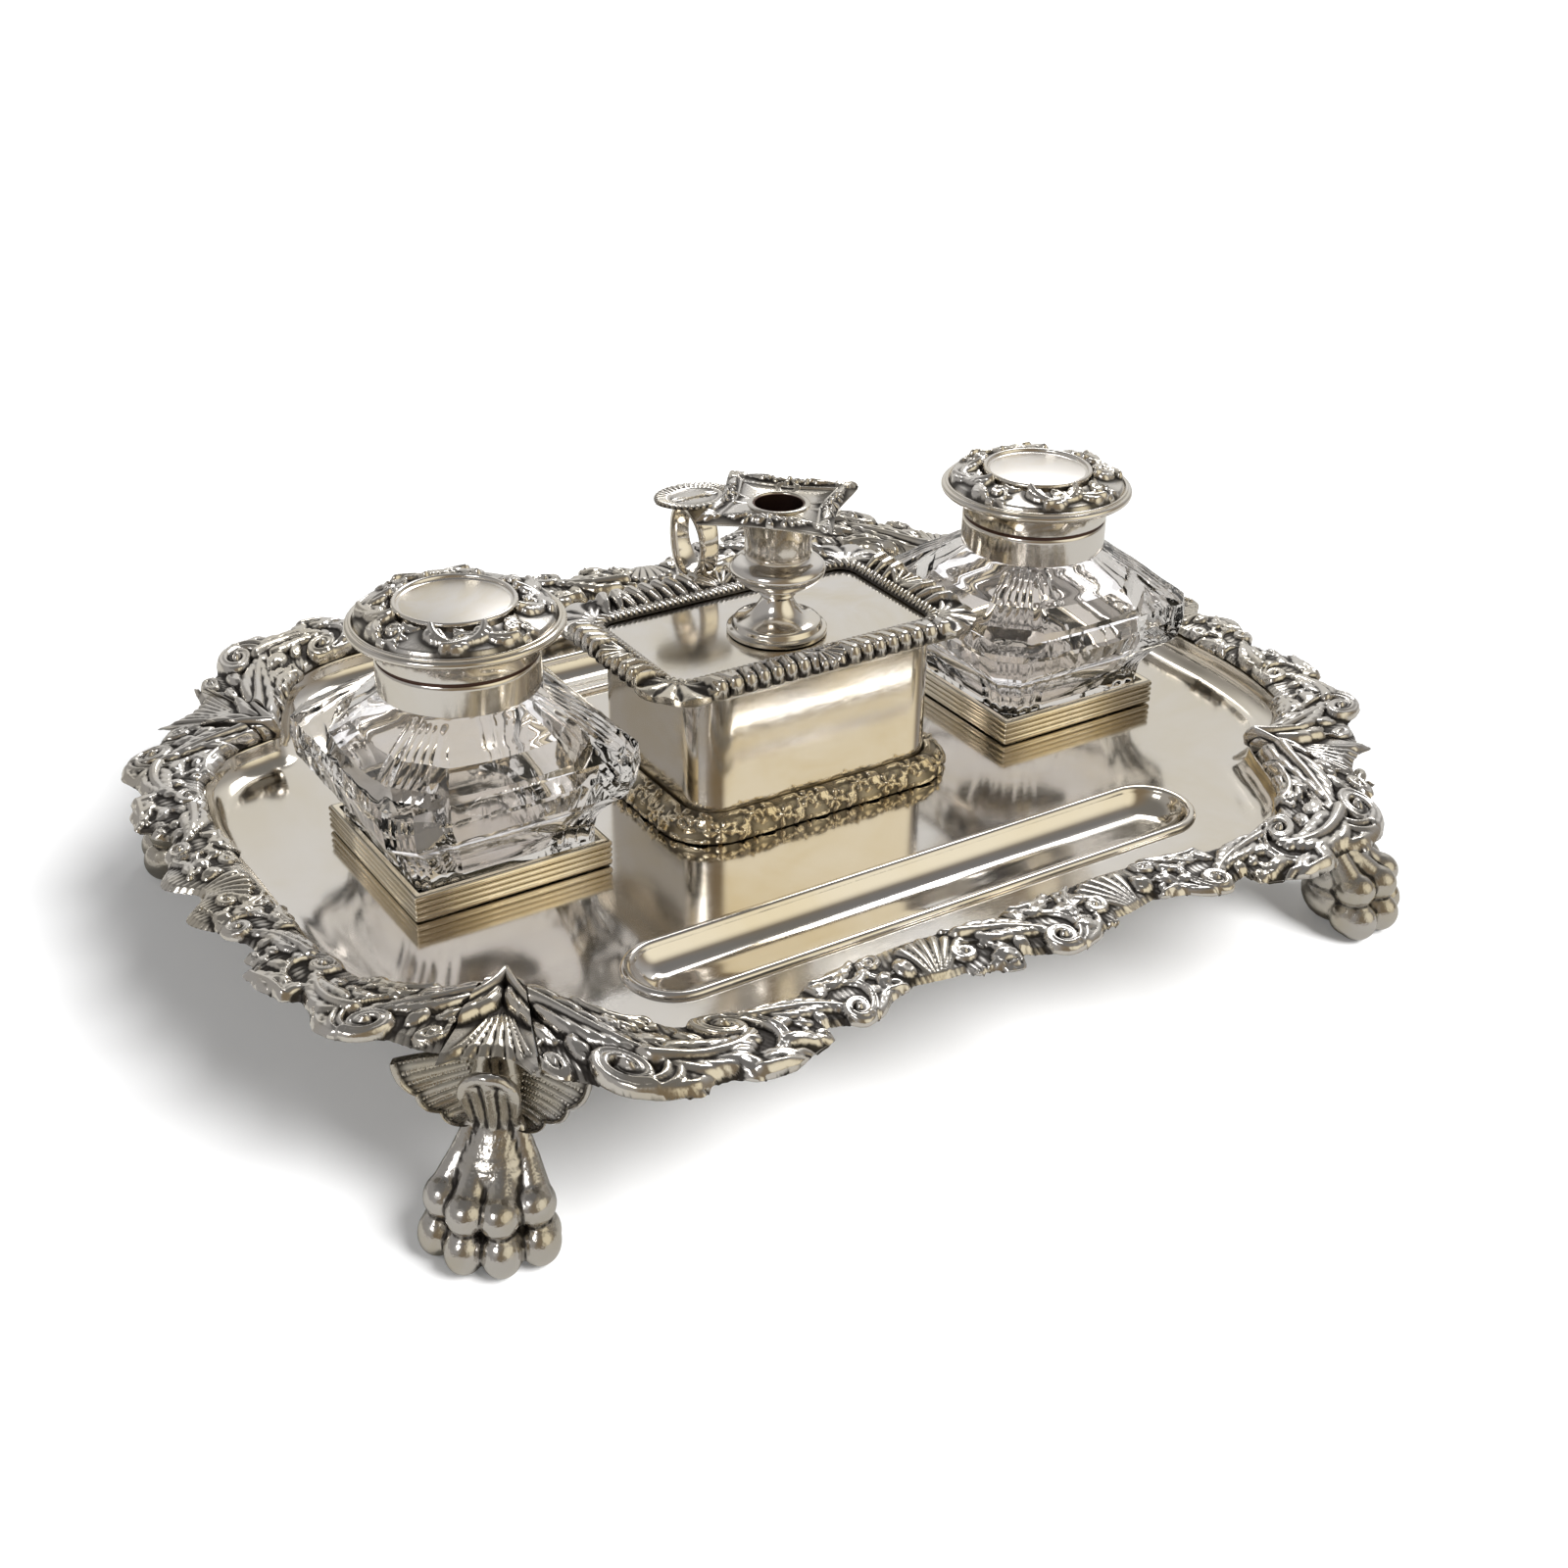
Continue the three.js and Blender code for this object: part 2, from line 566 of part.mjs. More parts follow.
// Upright mitre cuts up the lower slope of each face
function cutFlutes(glass, base, belly) {
  const bottom = FLOOR_TOP + GALLERY_HEIGHT + OVERRUN;
  const top = FLOOR_TOP + BOTTLE_BELLY_HEIGHT + BOTTLE_CORNER;
  const rise = top - bottom;
  const slope = (belly - base) / (BOTTLE_BELLY_HEIGHT - GALLERY_HEIGHT);
  const pitch = (2 * (base - BOTTLE_CORNER)) / FLUTE_COUNT;
  let result = glass;
  for (let face = 0; face < 4; face += 1) {
    for (let i = 0; i < FLUTE_COUNT; i += 1) {
      const across = (i - (FLUTE_COUNT - 1) / 2) * pitch;
      const tool = new THREE.CylinderGeometry(FLUTE_DEPTH * 1.6, FLUTE_DEPTH * 1.6, rise, 4);
      tool.rotateX(Math.PI / 2).rotateY(Math.atan(slope));
      const out = base + (slope * (rise / 2 + OVERRUN)) + FLUTE_DEPTH * 0.3;
      tool.translate(out, across, bottom + rise / 2).rotateZ((face * Math.PI) / 2);
      result = result.subtract(solid(tool));
    }
  }
  return shapeOf(result);
}

const collarRadius = NECK_RADIUS + SEAM + COLLAR_WALL;
const hingeY = collarRadius + KNUCKLE_RADIUS + SEAM;
const hingeZ = FLOOR_TOP + COLLAR_TOP + LID_GAP / 2;

// Hinge barrel along X with the web that ties it to a wall in front of it
function knuckle(offset, webLow, webHigh) {
  const barrel = new THREE.CylinderGeometry(KNUCKLE_RADIUS, KNUCKLE_RADIUS, KNUCKLE_LENGTH, 12);
  barrel.rotateZ(Math.PI / 2).translate(offset, hingeY, hingeZ);
  const depth = hingeY - collarRadius + COLLAR_WALL / 2;
  const web = new THREE.BoxGeometry(KNUCKLE_LENGTH, depth, webHigh - webLow);
  web.translate(offset, hingeY - depth / 2, (webLow + webHigh) / 2);
  return joined(solid(barrel), solid(web));
}

function hingeBore() {
  const bore = PIN_RADIUS + PIN_CLEARANCE;
  const tool = new THREE.CylinderGeometry(bore, bore, 4 * KNUCKLE_LENGTH, 12);
  return solid(tool.rotateZ(Math.PI / 2).translate(0, hingeY, hingeZ));
}

const knucklePitch = KNUCKLE_LENGTH + SEAM;

function collar() {
  const inner = NECK_RADIUS + SEAM;
  const [low, high] = [FLOOR_TOP + NECK_BASE + SEAM, FLOOR_TOP + COLLAR_TOP];
  let body = solid(tube(collarRadius, inner, low, high, 22));
  for (const side of [-1, 1]) {
    body = body.add(knuckle(side * knucklePitch, hingeZ - KNUCKLE_RADIUS, high));
  }
  return shapeOf(body.subtract(hingeBore()));
}

// Hollow lid: skirt, overhanging beaded rim, raised top with a flat disc
function lidShell() {
  const low = FLOOR_TOP + COLLAR_TOP + LID_GAP;
  const rim = low + LID_SKIRT_HEIGHT;
  const bead = LID_BEAD / 2;
  const seatHeight = rim + LID_BEAD;
  const top = rim + LID_TOP_RISE;
  const inner = collarRadius - COLLAR_WALL;
  const profile = [
    [inner, low], [collarRadius, low], [collarRadius, rim - bead],
    [LID_RADIUS - LID_BEAD, rim], [LID_RADIUS - bead * 0.3, rim + bead * 0.3],
    [LID_RADIUS, rim + bead], [LID_RADIUS - bead * 0.3, seatHeight - bead * 0.3],
    [LID_RADIUS - LID_BEAD, seatHeight], [LID_DISC_RADIUS + bead, top - LID_RELIEF_HEIGHT],
    [LID_DISC_RADIUS + bead, top], [LID_DISC_RADIUS, top], [LID_DISC_RADIUS - bead, top - bead],
    [0, top - bead], [0, seatHeight], [inner, seatHeight - LID_BEAD], [inner, low]];
  const body = joined(solid(turned(profile, 22)), knuckle(0, low, hingeZ + KNUCKLE_RADIUS));
  return shapeOf(body.subtract(hingeBore()));
}

// Relief ring of curled leaves round the flat disc
function lidRelief() {
  const low = FLOOR_TOP + COLLAR_TOP + LID_GAP + LID_SKIRT_HEIGHT + LID_BEAD;
  const inner = LID_DISC_RADIUS + LID_BEAD / 2 + SEAM;
  const outer = LID_RADIUS - LID_BEAD - SEAM;
  const fall = LID_TOP_RISE - LID_BEAD - LID_RELIEF_HEIGHT;
  const steps = 3 * LID_RELIEF_LOBES;
  const stations = Array.from({ length: steps }, (_, i) => {
    const angle = (2 * Math.PI * i) / steps;
    const crest = (share) => LID_RELIEF_HEIGHT * (0.65
      + 0.35 * Math.cos(2 * Math.PI * (LID_RELIEF_LOBES * (i / steps) + share)));
    const ground = (share) => low + SEAM + fall * (1 - share);
    return [[0, 0], [0.05, 0.75], [0.35, 1], [0.75, 0.85], [1, 0]]
      .map(([share, lift]) => {
        const radius = inner + share * (outer - inner);
        const height = ground(share) + lift * crest(share);
        return new THREE.Vector3(radius * Math.cos(angle), radius * Math.sin(angle), height);
      });
  });
  return skin(stations);
}

function hingePin() {
  const pin = new THREE.CylinderGeometry(PIN_RADIUS, PIN_RADIUS, 3 * knucklePitch, 12);
  return pin.rotateZ(Math.PI / 2).translate(0, hingeY, hingeZ);
}

function inkwell(side, name) {
  const group = new THREE.Group();
  group.position.x = side * BOTTLE_X;
  group.add(piece(`glass_bottle_${name}`, glassBottle(), crystal));
  group.add(piece(`neck_collar_${name}`, collar(), silver));
  group.add(piece(`hinge_pin_${name}`, hingePin(), silver));
  group.add(piece(`lid_shell_${name}`, lidShell(), silver));
  group.add(piece(`lid_relief_${name}`, lidRelief(), oxidised));
  return group;
}

function boxBody() {
  const low = FLOOR_TOP + SEAM;
  const outside = solid(slab(roundedRectangle(BOX_LENGTH, BOX_WIDTH, BOX_CORNER), low,
    FLOOR_TOP + BOX_HEIGHT));
  const inside = roundedRectangle(BOX_LENGTH - 2 * BOX_WALL, BOX_WIDTH - 2 * BOX_WALL,
    BOX_CORNER - BOX_WALL);
  const cavity = solid(slab(inside, low + BOX_WALL, FLOOR_TOP + BOX_HEIGHT + OVERRUN));
  return piece('box_body', shapeOf(outside.subtract(cavity)), silver);
}

// Stations round a rounded rectangle with its outward directions, spaced about evenly
function rectangleStations(length, width, corner, pitch) {
  const outline = roundedRectangle(length, width, corner);
  const count = Math.round(outline.getLength() / pitch);
  return outline.getSpacedPoints(count).slice(0, count).map(({ x, y }) => {
    const overX = Math.max(0, Math.abs(x) - (length / 2 - corner)) * Math.sign(x);
    const overY = Math.max(0, Math.abs(y) - (width / 2 - corner)) * Math.sign(y);
    const outward = new THREE.Vector3(overX, overY, 0).normalize();
    return { point: new THREE.Vector3(x, y, 0), outward };
  });
}

// Cast leaf band that hides the foot of the box
function boxPlinth() {
  const gap = BOX_WALL / 2;
  const stations = rectangleStations(BOX_LENGTH + gap, BOX_WIDTH + gap, BOX_CORNER + gap / 2,
    PLINTH_LOBE_PITCH / 3);
  const low = FLOOR_TOP + SEAM;
  const loops = stations.map(({ point, outward }, i) => {
    const reach = Math.hypot(outward.x * PLINTH_REACH_X, outward.y * PLINTH_REACH_Y) - gap;
    const lobe = PLINTH_LOBE * Math.cos((2 * Math.PI * i) / 3);
    const section = [[0, 0], [reach * 0.8, 0], [reach - PLINTH_LOBE + lobe, PLINTH_HEIGHT * 0.3],
      [reach * 0.7 + lobe / 2, PLINTH_HEIGHT * 0.8], [0, PLINTH_HEIGHT]];
    return section.map(([out, height]) => point.clone().addScaledVector(outward, out)
      .setZ(low + height));
  });
  return piece('box_foot_border', skin(loops), oxidised);
}

const coverSeat = FLOOR_TOP + BOX_HEIGHT + SEAM;
const fieldTop = coverSeat + COVER_SHEET;
const coverEdge = LAP;

// Flat pan of the cover with the locating flange that drops inside the box
function coverPan() {
  const pan = solid(slab(roundedRectangle(COVER_LENGTH - 2 * coverEdge,
    COVER_WIDTH - 2 * coverEdge, COVER_CORNER - coverEdge), coverSeat, fieldTop));
  const inset = 2 * (BOX_WALL + SLIP);
  const corner = BOX_CORNER - BOX_WALL - SLIP;
  const flange = solid(slab(roundedRectangle(BOX_LENGTH - inset, BOX_WIDTH - inset, corner),
    coverSeat - FLANGE_DEPTH, coverSeat + COVER_SHEET / 2));
  const hollow = solid(slab(roundedRectangle(BOX_LENGTH - inset - 2 * BOX_WALL,
    BOX_WIDTH - inset - 2 * BOX_WALL, corner - BOX_WALL), coverSeat - FLANGE_DEPTH - OVERRUN,
  coverSeat));
  const studHole = turned([[0, coverSeat - OVERRUN], [STUD_RADIUS + SEAM, coverSeat - OVERRUN],
    [STUD_RADIUS + SEAM, fieldTop + OVERRUN], [0, fieldTop + OVERRUN]], 16);
  const body = joined(pan, flange).subtract(hollow)
    .subtract(solid(studHole.translate(0, TAPER_Y, 0)));
  return piece('cover_pan', shapeOf(body, SMOOTHING), silver);
}

// Gadrooned border of the cover: lobes lean outwards, with a fan shell on each corner
function coverBorder() {
  const stations = rectangleStations(FIELD_LENGTH, FIELD_WIDTH, FIELD_CORNER,
    COVER_LOBE_PITCH / 3);
  const low = fieldTop + SEAM;
  const loops = stations.map(({ point, outward }, i) => {
    const spread = Math.abs(outward.x * outward.y) * 2;
    const straight = Math.hypot(outward.x * COVER_BORDER_END, outward.y * COVER_BORDER_SIDE);
    const reach = straight * (1 + 0.16 * spread);
    const wave = Math.cos((2 * Math.PI * i) / 3);
    const crest = COVER_BORDER_CREST * (0.6 + 0.4 * wave);
    const section = [[0, 0], [0, COVER_BORDER_HEIGHT * 0.6],
      [reach * 0.3, COVER_BORDER_HEIGHT],
      [reach * 0.8, COVER_BORDER_HEIGHT - COVER_BORDER_CREST + crest],
      [reach - crest * 0.3, COVER_BORDER_HEIGHT * 0.4], [reach - COVER_BORDER_CREST / 2, 0]];
    return section.map(([out, height]) => point.clone().addScaledVector(outward, out)
      .setZ(low + height));
  });
  return piece('cover_border', skin(loops), oxidised);
}

// Turned taper holder: stepped foot, slim neck, round bowl, cup for the nozzle, stud below
function taperHolder() {
  const low = fieldTop + SEAM;
  const high = low + TAPER_HEIGHT;
  const nutLow = coverSeat - SEAM - NUT_HEIGHT - STUD_RADIUS;
  const up = (share) => low + share * TAPER_HEIGHT;
  const profile = [
    [0, nutLow], [STUD_RADIUS, nutLow], [STUD_RADIUS, low], [TAPER_FOOT_RADIUS, low],
    [TAPER_FOOT_RADIUS, up(0.04)], [TAPER_FOOT_RADIUS * 0.88, up(0.06)],
    [TAPER_FOOT_RADIUS * 0.86, up(0.1)], [TAPER_FOOT_RADIUS * 0.7, up(0.13)],
    [TAPER_FOOT_RADIUS * 0.42, up(0.2)], [TAPER_NECK_RADIUS, up(0.29)],
    [TAPER_NECK_RADIUS * 1.15, up(0.33)], [TAPER_BOWL_RADIUS * 0.66, up(0.4)],
    [TAPER_BOWL_RADIUS * 0.95, up(0.47)], [TAPER_BOWL_RADIUS, up(0.52)],
    [TAPER_BOWL_RADIUS * 0.92, up(0.57)], [SOCKET_RADIUS * 0.95, up(0.62)],
    [SOCKET_RADIUS * 0.95, up(0.66)], [SOCKET_RADIUS, up(0.85)],
    [SOCKET_RADIUS * 1.1, high], [SOCKET_BORE, high], [SOCKET_BORE, high - SOCKET_DEPTH],
    [0, high - SOCKET_DEPTH]];
  return piece('taper_holder', turned(profile, 18).translate(0, TAPER_Y, 0), silver);
}

function stemNut() {
  const high = coverSeat - SEAM;
  const nut = solid(new THREE.CylinderGeometry(NUT_RADIUS, NUT_RADIUS, NUT_HEIGHT, 6)
    .rotateX(Math.PI / 2).translate(0, TAPER_Y, high - NUT_HEIGHT / 2));
  const bore = solid(new THREE.CylinderGeometry(STUD_RADIUS + SEAM, STUD_RADIUS + SEAM,
    NUT_HEIGHT + OVERRUN, 16).rotateX(Math.PI / 2).translate(0, TAPER_Y, high - NUT_HEIGHT / 2));
  return piece('stem_nut', shapeOf(nut.subtract(bore)), silver);
}

// Square outline with dipped sides and its corners on the axes, as seen from above
function nozzleLine(diagonal) {
  const reach = diagonal / 2;
  const steps = 6;
  const points = [];
  for (let side = 0; side < 4; side += 1) {
    const [from, to] = [side, side + 1].map((k) => new THREE.Vector2(
      reach * Math.cos((k * Math.PI) / 2), reach * Math.sin((k * Math.PI) / 2)));
    for (let i = 0; i < steps; i += 1) {
      const point = from.clone().lerp(to, i / steps);
      const dip = NOZZLE_SIDE_DIP * (diagonal / NOZZLE_DIAGONAL) * Math.sin((Math.PI * i) / steps);
      points.push(point.multiplyScalar(1 - dip / point.length()));
    }
  }
  return points;
}

// Loose nozzle: tube, square drip pan and raised leaf border round the pan
function nozzle() {
  const seat = fieldTop + SEAM + TAPER_HEIGHT + SEAM;
  const top = seat + NOZZLE_PAN_THICKNESS;
  const pan = solid(slab(new THREE.Shape(nozzleLine(NOZZLE_DIAGONAL)), seat, top));
  const outer = nozzleLine(NOZZLE_DIAGONAL);
  const inner = nozzleLine(NOZZLE_DIAGONAL - 2 * NOZZLE_BORDER_WIDTH);
  const loops = outer.map((edge, i) => {
    const lift = NOZZLE_BORDER_HEIGHT * (i % 2 === 0 ? 1 : 0.8);
    return [[0, -NOZZLE_PAN_THICKNESS / 2], [0.02, 0.4], [0.35, 1], [0.7, 0.9], [1, 0]]
      .map(([share, rise], k) => {
        const at = edge.clone().lerp(inner[i], share);
        const height = k === 0 ? top - NOZZLE_PAN_THICKNESS / 2 : top + rise * lift;
        return new THREE.Vector3(at.x, at.y, height);
      });
  });
  const radius = SOCKET_BORE - NOZZLE_CLEARANCE;
  const shank = solid(tube(radius, radius - NOZZLE_PAN_THICKNESS / 2, seat - NOZZLE_TUBE_LENGTH,
    seat + NOZZLE_PAN_THICKNESS / 2, 24));
  const bore = solid(turned([[0, seat - OVERRUN], [NOZZLE_BORE, seat - OVERRUN],
    [NOZZLE_BORE, top + OVERRUN], [0, top + OVERRUN]], 24));
  const body = joined(pan, solid(skin(loops)), shank).subtract(bore);
  return piece('nozzle', shapeOf(body).translate(0, TAPER_Y, 0), silver);
}

const handleY = COVER_WIDTH / 2 + HANDLE_OVERHANG;
const handleZ = fieldTop + HANDLE_HALF_HEIGHT;

// Oval finger ring in the upright plane, relieved where it meets the cover's border
function handleRing() {
  const ring = new THREE.Shape();
  ring.absellipse(0, 0, HANDLE_HALF_DEPTH, HANDLE_HALF_HEIGHT, 0, 2 * Math.PI, false);
  const hole = new THREE.Path();
  hole.absellipse(0, 0, HANDLE_HALF_DEPTH - HANDLE_BAND, HANDLE_HALF_HEIGHT - HANDLE_BAND, 0,
    2 * Math.PI, true);
  ring.holes.push(hole);
  const band = new THREE.ExtrudeGeometry(ring, {
    depth: HANDLE_WIDTH, bevelEnabled: false, curveSegments: 16 });
  band.translate(0, 0, -HANDLE_WIDTH / 2).rotateX(Math.PI / 2).rotateZ(Math.PI / 2);
  band.translate(0, handleY, handleZ);
  const room = solid(slab(roundedRectangle(COVER_LENGTH + 2 * SEAM, COVER_WIDTH + 2 * SEAM,
    COVER_CORNER), coverSeat - OVERRUN, fieldTop + SEAM + COVER_BORDER_HEIGHT + SEAM));
  return piece('handle_ring', shapeOf(solid(band).subtract(room)), silver);
}

// Leaf-shaped thumb-piece with a raised edge, lying on the crown of the ring
function thumbPiece() {
  const leaf = (grow) => {
    const [x, y] = [THUMB_LENGTH / 2 + grow, THUMB_WIDTH / 2 + grow];
    const shape = new THREE.Shape();
    shape.moveTo(-x, 0);
    shape.quadraticCurveTo(-x / 2, -y * 1.1, 0, -y);
    shape.quadraticCurveTo(x / 2, -y * 1.1, x, 0);
    shape.quadraticCurveTo(x / 2, y * 1.1, 0, y);
    shape.quadraticCurveTo(-x / 2, y * 1.1, -x, 0);
    return shape;
  };
  const low = handleZ + HANDLE_HALF_HEIGHT + SEAM;
  const plate = solid(slab(leaf(0), low, low + THUMB_THICKNESS + THUMB_BEAD));
  const dish = solid(slab(leaf(-THUMB_BEAD - THUMB_THICKNESS), low + THUMB_THICKNESS,
    low + THUMB_THICKNESS + OVERRUN));
  return piece('thumb_piece', shapeOf(plate.subtract(dish)).translate(0, handleY, 0), silver);
}

const inkstand = new THREE.Group();
inkstand.add(trayPlate(), ...borders(), feet());
inkstand.add(gallery('gallery_left', -1), gallery('gallery_right', 1));
inkstand.add(inkwell(-1, 'left'), inkwell(1, 'right'));
inkstand.add(boxBody(), boxPlinth(), coverPan(), coverBorder(), taperHolder(), stemNut());
inkstand.add(nozzle(), handleRing(), thumbPiece());

export default inkstand;
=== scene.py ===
import math

import bmesh
import bpy
import numpy as np
from mathutils import Matrix, Vector
from mathutils.geometry import tessellate_polygon


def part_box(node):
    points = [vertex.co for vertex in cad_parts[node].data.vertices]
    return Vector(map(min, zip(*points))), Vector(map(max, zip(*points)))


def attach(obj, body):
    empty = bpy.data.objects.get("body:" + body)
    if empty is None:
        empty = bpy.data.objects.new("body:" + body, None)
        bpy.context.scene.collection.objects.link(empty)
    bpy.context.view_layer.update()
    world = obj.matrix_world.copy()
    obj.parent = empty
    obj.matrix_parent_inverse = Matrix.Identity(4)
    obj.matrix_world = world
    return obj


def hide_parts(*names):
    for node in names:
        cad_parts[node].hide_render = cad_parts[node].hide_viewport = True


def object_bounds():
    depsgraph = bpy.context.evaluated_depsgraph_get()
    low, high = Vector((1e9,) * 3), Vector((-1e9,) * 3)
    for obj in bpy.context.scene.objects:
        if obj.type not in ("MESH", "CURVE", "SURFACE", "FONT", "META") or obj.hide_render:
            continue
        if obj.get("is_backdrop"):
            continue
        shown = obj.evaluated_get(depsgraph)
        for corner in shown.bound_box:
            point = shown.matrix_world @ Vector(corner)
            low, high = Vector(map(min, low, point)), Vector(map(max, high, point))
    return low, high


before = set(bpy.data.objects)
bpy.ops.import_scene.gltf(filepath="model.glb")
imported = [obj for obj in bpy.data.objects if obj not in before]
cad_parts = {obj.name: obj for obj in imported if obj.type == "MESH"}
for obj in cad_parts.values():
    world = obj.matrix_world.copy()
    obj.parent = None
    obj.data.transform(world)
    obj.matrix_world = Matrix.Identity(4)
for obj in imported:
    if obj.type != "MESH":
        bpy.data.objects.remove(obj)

bl_info = {
    "name": "Desk inkstand dresser",
    "version": (1, 0, 0),
    "blender": (4, 5, 0),
    "location": "View3D > Sidebar > Inkstand",
    "description": "Dresses the packed desk inkstand with cast relief, cut glass and silver plate",
    "category": "Object",
}

# Lengths are in millimetres until a mesh is made. FLOOR is the top of the tray's flat,
# SEAM the gap that keeps cast pieces from sharing a surface, and FINE the step of a relief.
MM = 0.001
LOW, HIGH = (np.asarray(corner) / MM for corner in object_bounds())
FLOOR = 43.0
RIM_RISE = 7.0
SEAM = 0.3
SHEET = 1.6
TAU = 2 * math.pi
RIGHT = math.pi / 2
FINE = 0.38

# Outline of the tray: shares of the half sizes, from the end round to the long side
RIM_HALF = (154.0, 113.0)
EDGE_HALF = (176.0, 135.0)
RIM_SHARES = (
    (1, 0), (1, 0.1), (1, 0.23), (0.984, 0.4), (0.95, 0.53), (0.883, 0.62), (0.81, 0.652),
    (0.782, 0.664), (0.765, 0.7), (0.727, 0.812), (0.685, 0.912), (0.6, 0.995), (0.48, 1.025),
    (0.37, 1.01), (0.26, 0.978), (0.156, 0.975), (0.065, 0.995), (0, 1))
EDGE_SHARES = (
    (0.985, 0), (1.025, 0.067), (0.975, 0.178), (0.966, 0.348), (0.95, 0.49), (0.902, 0.6),
    (0.85, 0.7), (0.768, 0.745), (0.742, 0.85), (0.69, 0.935), (0.595, 1.02), (0.49, 1.032),
    (0.39, 0.985), (0.324, 1.008), (0.24, 0.965), (0.16, 0.98), (0.07, 0.975), (0, 1.01))
QUARTER = len(RIM_SHARES) - 1
ROUND = 4 * QUARTER
FAN_FROM, FAN_TO = 6.1, 7.9


# ---- Shells and objects ----

def sheet(rows, columns, wrap_rows=False, wrap_columns=False):
    """Quads over a grid of points that are stored row by row."""
    r, c = np.meshgrid(np.arange(rows if wrap_rows else rows - 1),
                       np.arange(columns if wrap_columns else columns - 1), indexing="ij")
    r2, c2 = (r + 1) % rows, (c + 1) % columns
    return np.stack([r * columns + c, r * columns + c2, r2 * columns + c2, r2 * columns + c],
                    -1).reshape(-1, 4)


class Piece:
    """Gathers the closed shells of one piece, in millimetres, and makes one object of them."""

    def __init__(self, name):
        self.name = name
        self.points, self.faces, self.hollow, self.count = [], [], [], 0

    def shell(self, points, faces, hollow=None):
        """Adds one closed shell; its faces are turned outward by the volume they enclose."""
        points = np.asarray(points, float).reshape(-1, 3)
        volume = 0.0
        for group in faces:
            first = points[group[:, 0]]
            for k in range(1, group.shape[1] - 1):
                volume += np.einsum("ij,ij->", first,
                                    np.cross(points[group[:, k]], points[group[:, k + 1]]))
        for group in faces:
            self.faces.append((group if volume > 0 else group[:, ::-1]) + self.count)
        self.points.append(points)
        self.hollow.append(np.zeros(len(points)) if hollow is None
                           else np.asarray(hollow, float).ravel())
        self.count += len(points)

    def loft(self, rings, closed=False, hollow=None):
        """Rings of equal count, joined in order; closed on itself or capped."""
        rings = np.asarray(rings, float)
        count, around = rings.shape[:2]
        faces = [sheet(count, around, closed, True)]
        if not closed:
            ends = np.arange(around)
            faces += [ends[None, ::-1], (ends + (count - 1) * around)[None, :]]
        self.shell(rings, faces, hollow)

    def turned(self, profile, centre=(0, 0), segments=96):
        """A body of revolution from (radius, height) points; radius 0 closes it at the axis."""
        angles = np.arange(segments) * TAU / segments
        profile = np.asarray(profile, float)
        radius, height = np.maximum(profile[:, 0], 1e-3), profile[:, 1]
        rings = np.stack([
            centre[0] + radius[:, None] * np.cos(angles),
            centre[1] + radius[:, None] * np.sin(angles),
            np.broadcast_to(height[:, None], (len(profile), segments))], -1)
        self.loft(rings, closed=profile[0, 0] > 0)

    def make(self, material, crease=40, mend=False):
        """One smooth object, sharp above the crease angle; mend turns its faces outward."""
        mesh = bpy.data.meshes.new(self.name)
        points = np.concatenate(self.points) * MM
        mesh.vertices.add(len(points))
        mesh.vertices.foreach_set("co", points.ravel())
        sizes = np.concatenate([np.full(len(group), group.shape[1]) for group in self.faces])
        loops = np.concatenate([group.ravel() for group in self.faces])
        mesh.loops.add(len(loops))
        mesh.loops.foreach_set("vertex_index", loops.astype(np.int32))
        mesh.polygons.add(len(sizes))
        starts = np.concatenate([[0], np.cumsum(sizes)[:-1]])
        mesh.polygons.foreach_set("loop_start", starts.astype(np.int32))
        mesh.polygons.foreach_set("use_smooth", np.ones(len(sizes), bool))
        mesh.update(calc_edges=True)
        mesh.validate()
        attribute = mesh.attributes.new("hollow", "FLOAT", "POINT")
        attribute.data.foreach_set("value", np.concatenate(self.hollow).astype(np.float32))
        if mend:
            working = bmesh.new()
            working.from_mesh(mesh)
            bmesh.ops.recalc_face_normals(working, faces=working.faces)
            working.to_mesh(mesh)
            working.free()
        mesh.set_sharp_from_angle(angle=math.radians(crease))
        mesh.materials.append(material)
        made = bpy.data.objects.new(self.name, mesh)
        bpy.context.scene.collection.objects.link(made)
        return made


def seat(made, body, slot, *nodes):
    """Lets a piece move with its body and stand for its CAD nodes, which it hides; the slot is not
    used.
    """
    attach(made, body)
    if nodes:
        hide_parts(*nodes)


# ---- Outlines ----

def round_trip(shares, half):
    """Closed outline of the tray from one quarter's shares."""
    quarter = np.asarray(shares, float) * half
    places = []
    for k in range(ROUND):
        side, along = divmod(k, QUARTER)
        x, y = quarter[along if side % 2 == 0 else QUARTER - along]
        places.append((x if side in (0, 3) else -x, y if side < 2 else -y))
    return np.asarray(places)


def on_line(places, stations):
    """Points of a closed centripetal curve through places, at fractional stations."""
    stations = np.mod(np.asarray(stations, float), len(places))
    whole = np.floor(stations).astype(int)
    share = (stations - whole)[:, None]
    p0, p1, p2, p3 = (places[(whole + k) % len(places)] for k in (-1, 0, 1, 2))
    d0, d1, d2 = (np.sqrt(np.linalg.norm(b - a, axis=1))[:, None]
                  for a, b in ((p0, p1), (p1, p2), (p2, p3)))
    t1 = ((p1 - p0) / d0 - (p2 - p0) / (d0 + d1) + (p2 - p1) / d1) * d1
    t2 = ((p2 - p1) / d1 - (p3 - p1) / (d1 + d2) + (p3 - p2) / d2) * d1
    return (p1 + t1 * share + (3 * (p2 - p1) - 2 * t1 - t2) * share ** 2
            + (2 * (p1 - p2) + t1 + t2) * share ** 3)


RIM = round_trip(RIM_SHARES, RIM_HALF)
EDGE = round_trip(EDGE_SHARES, EDGE_HALF)


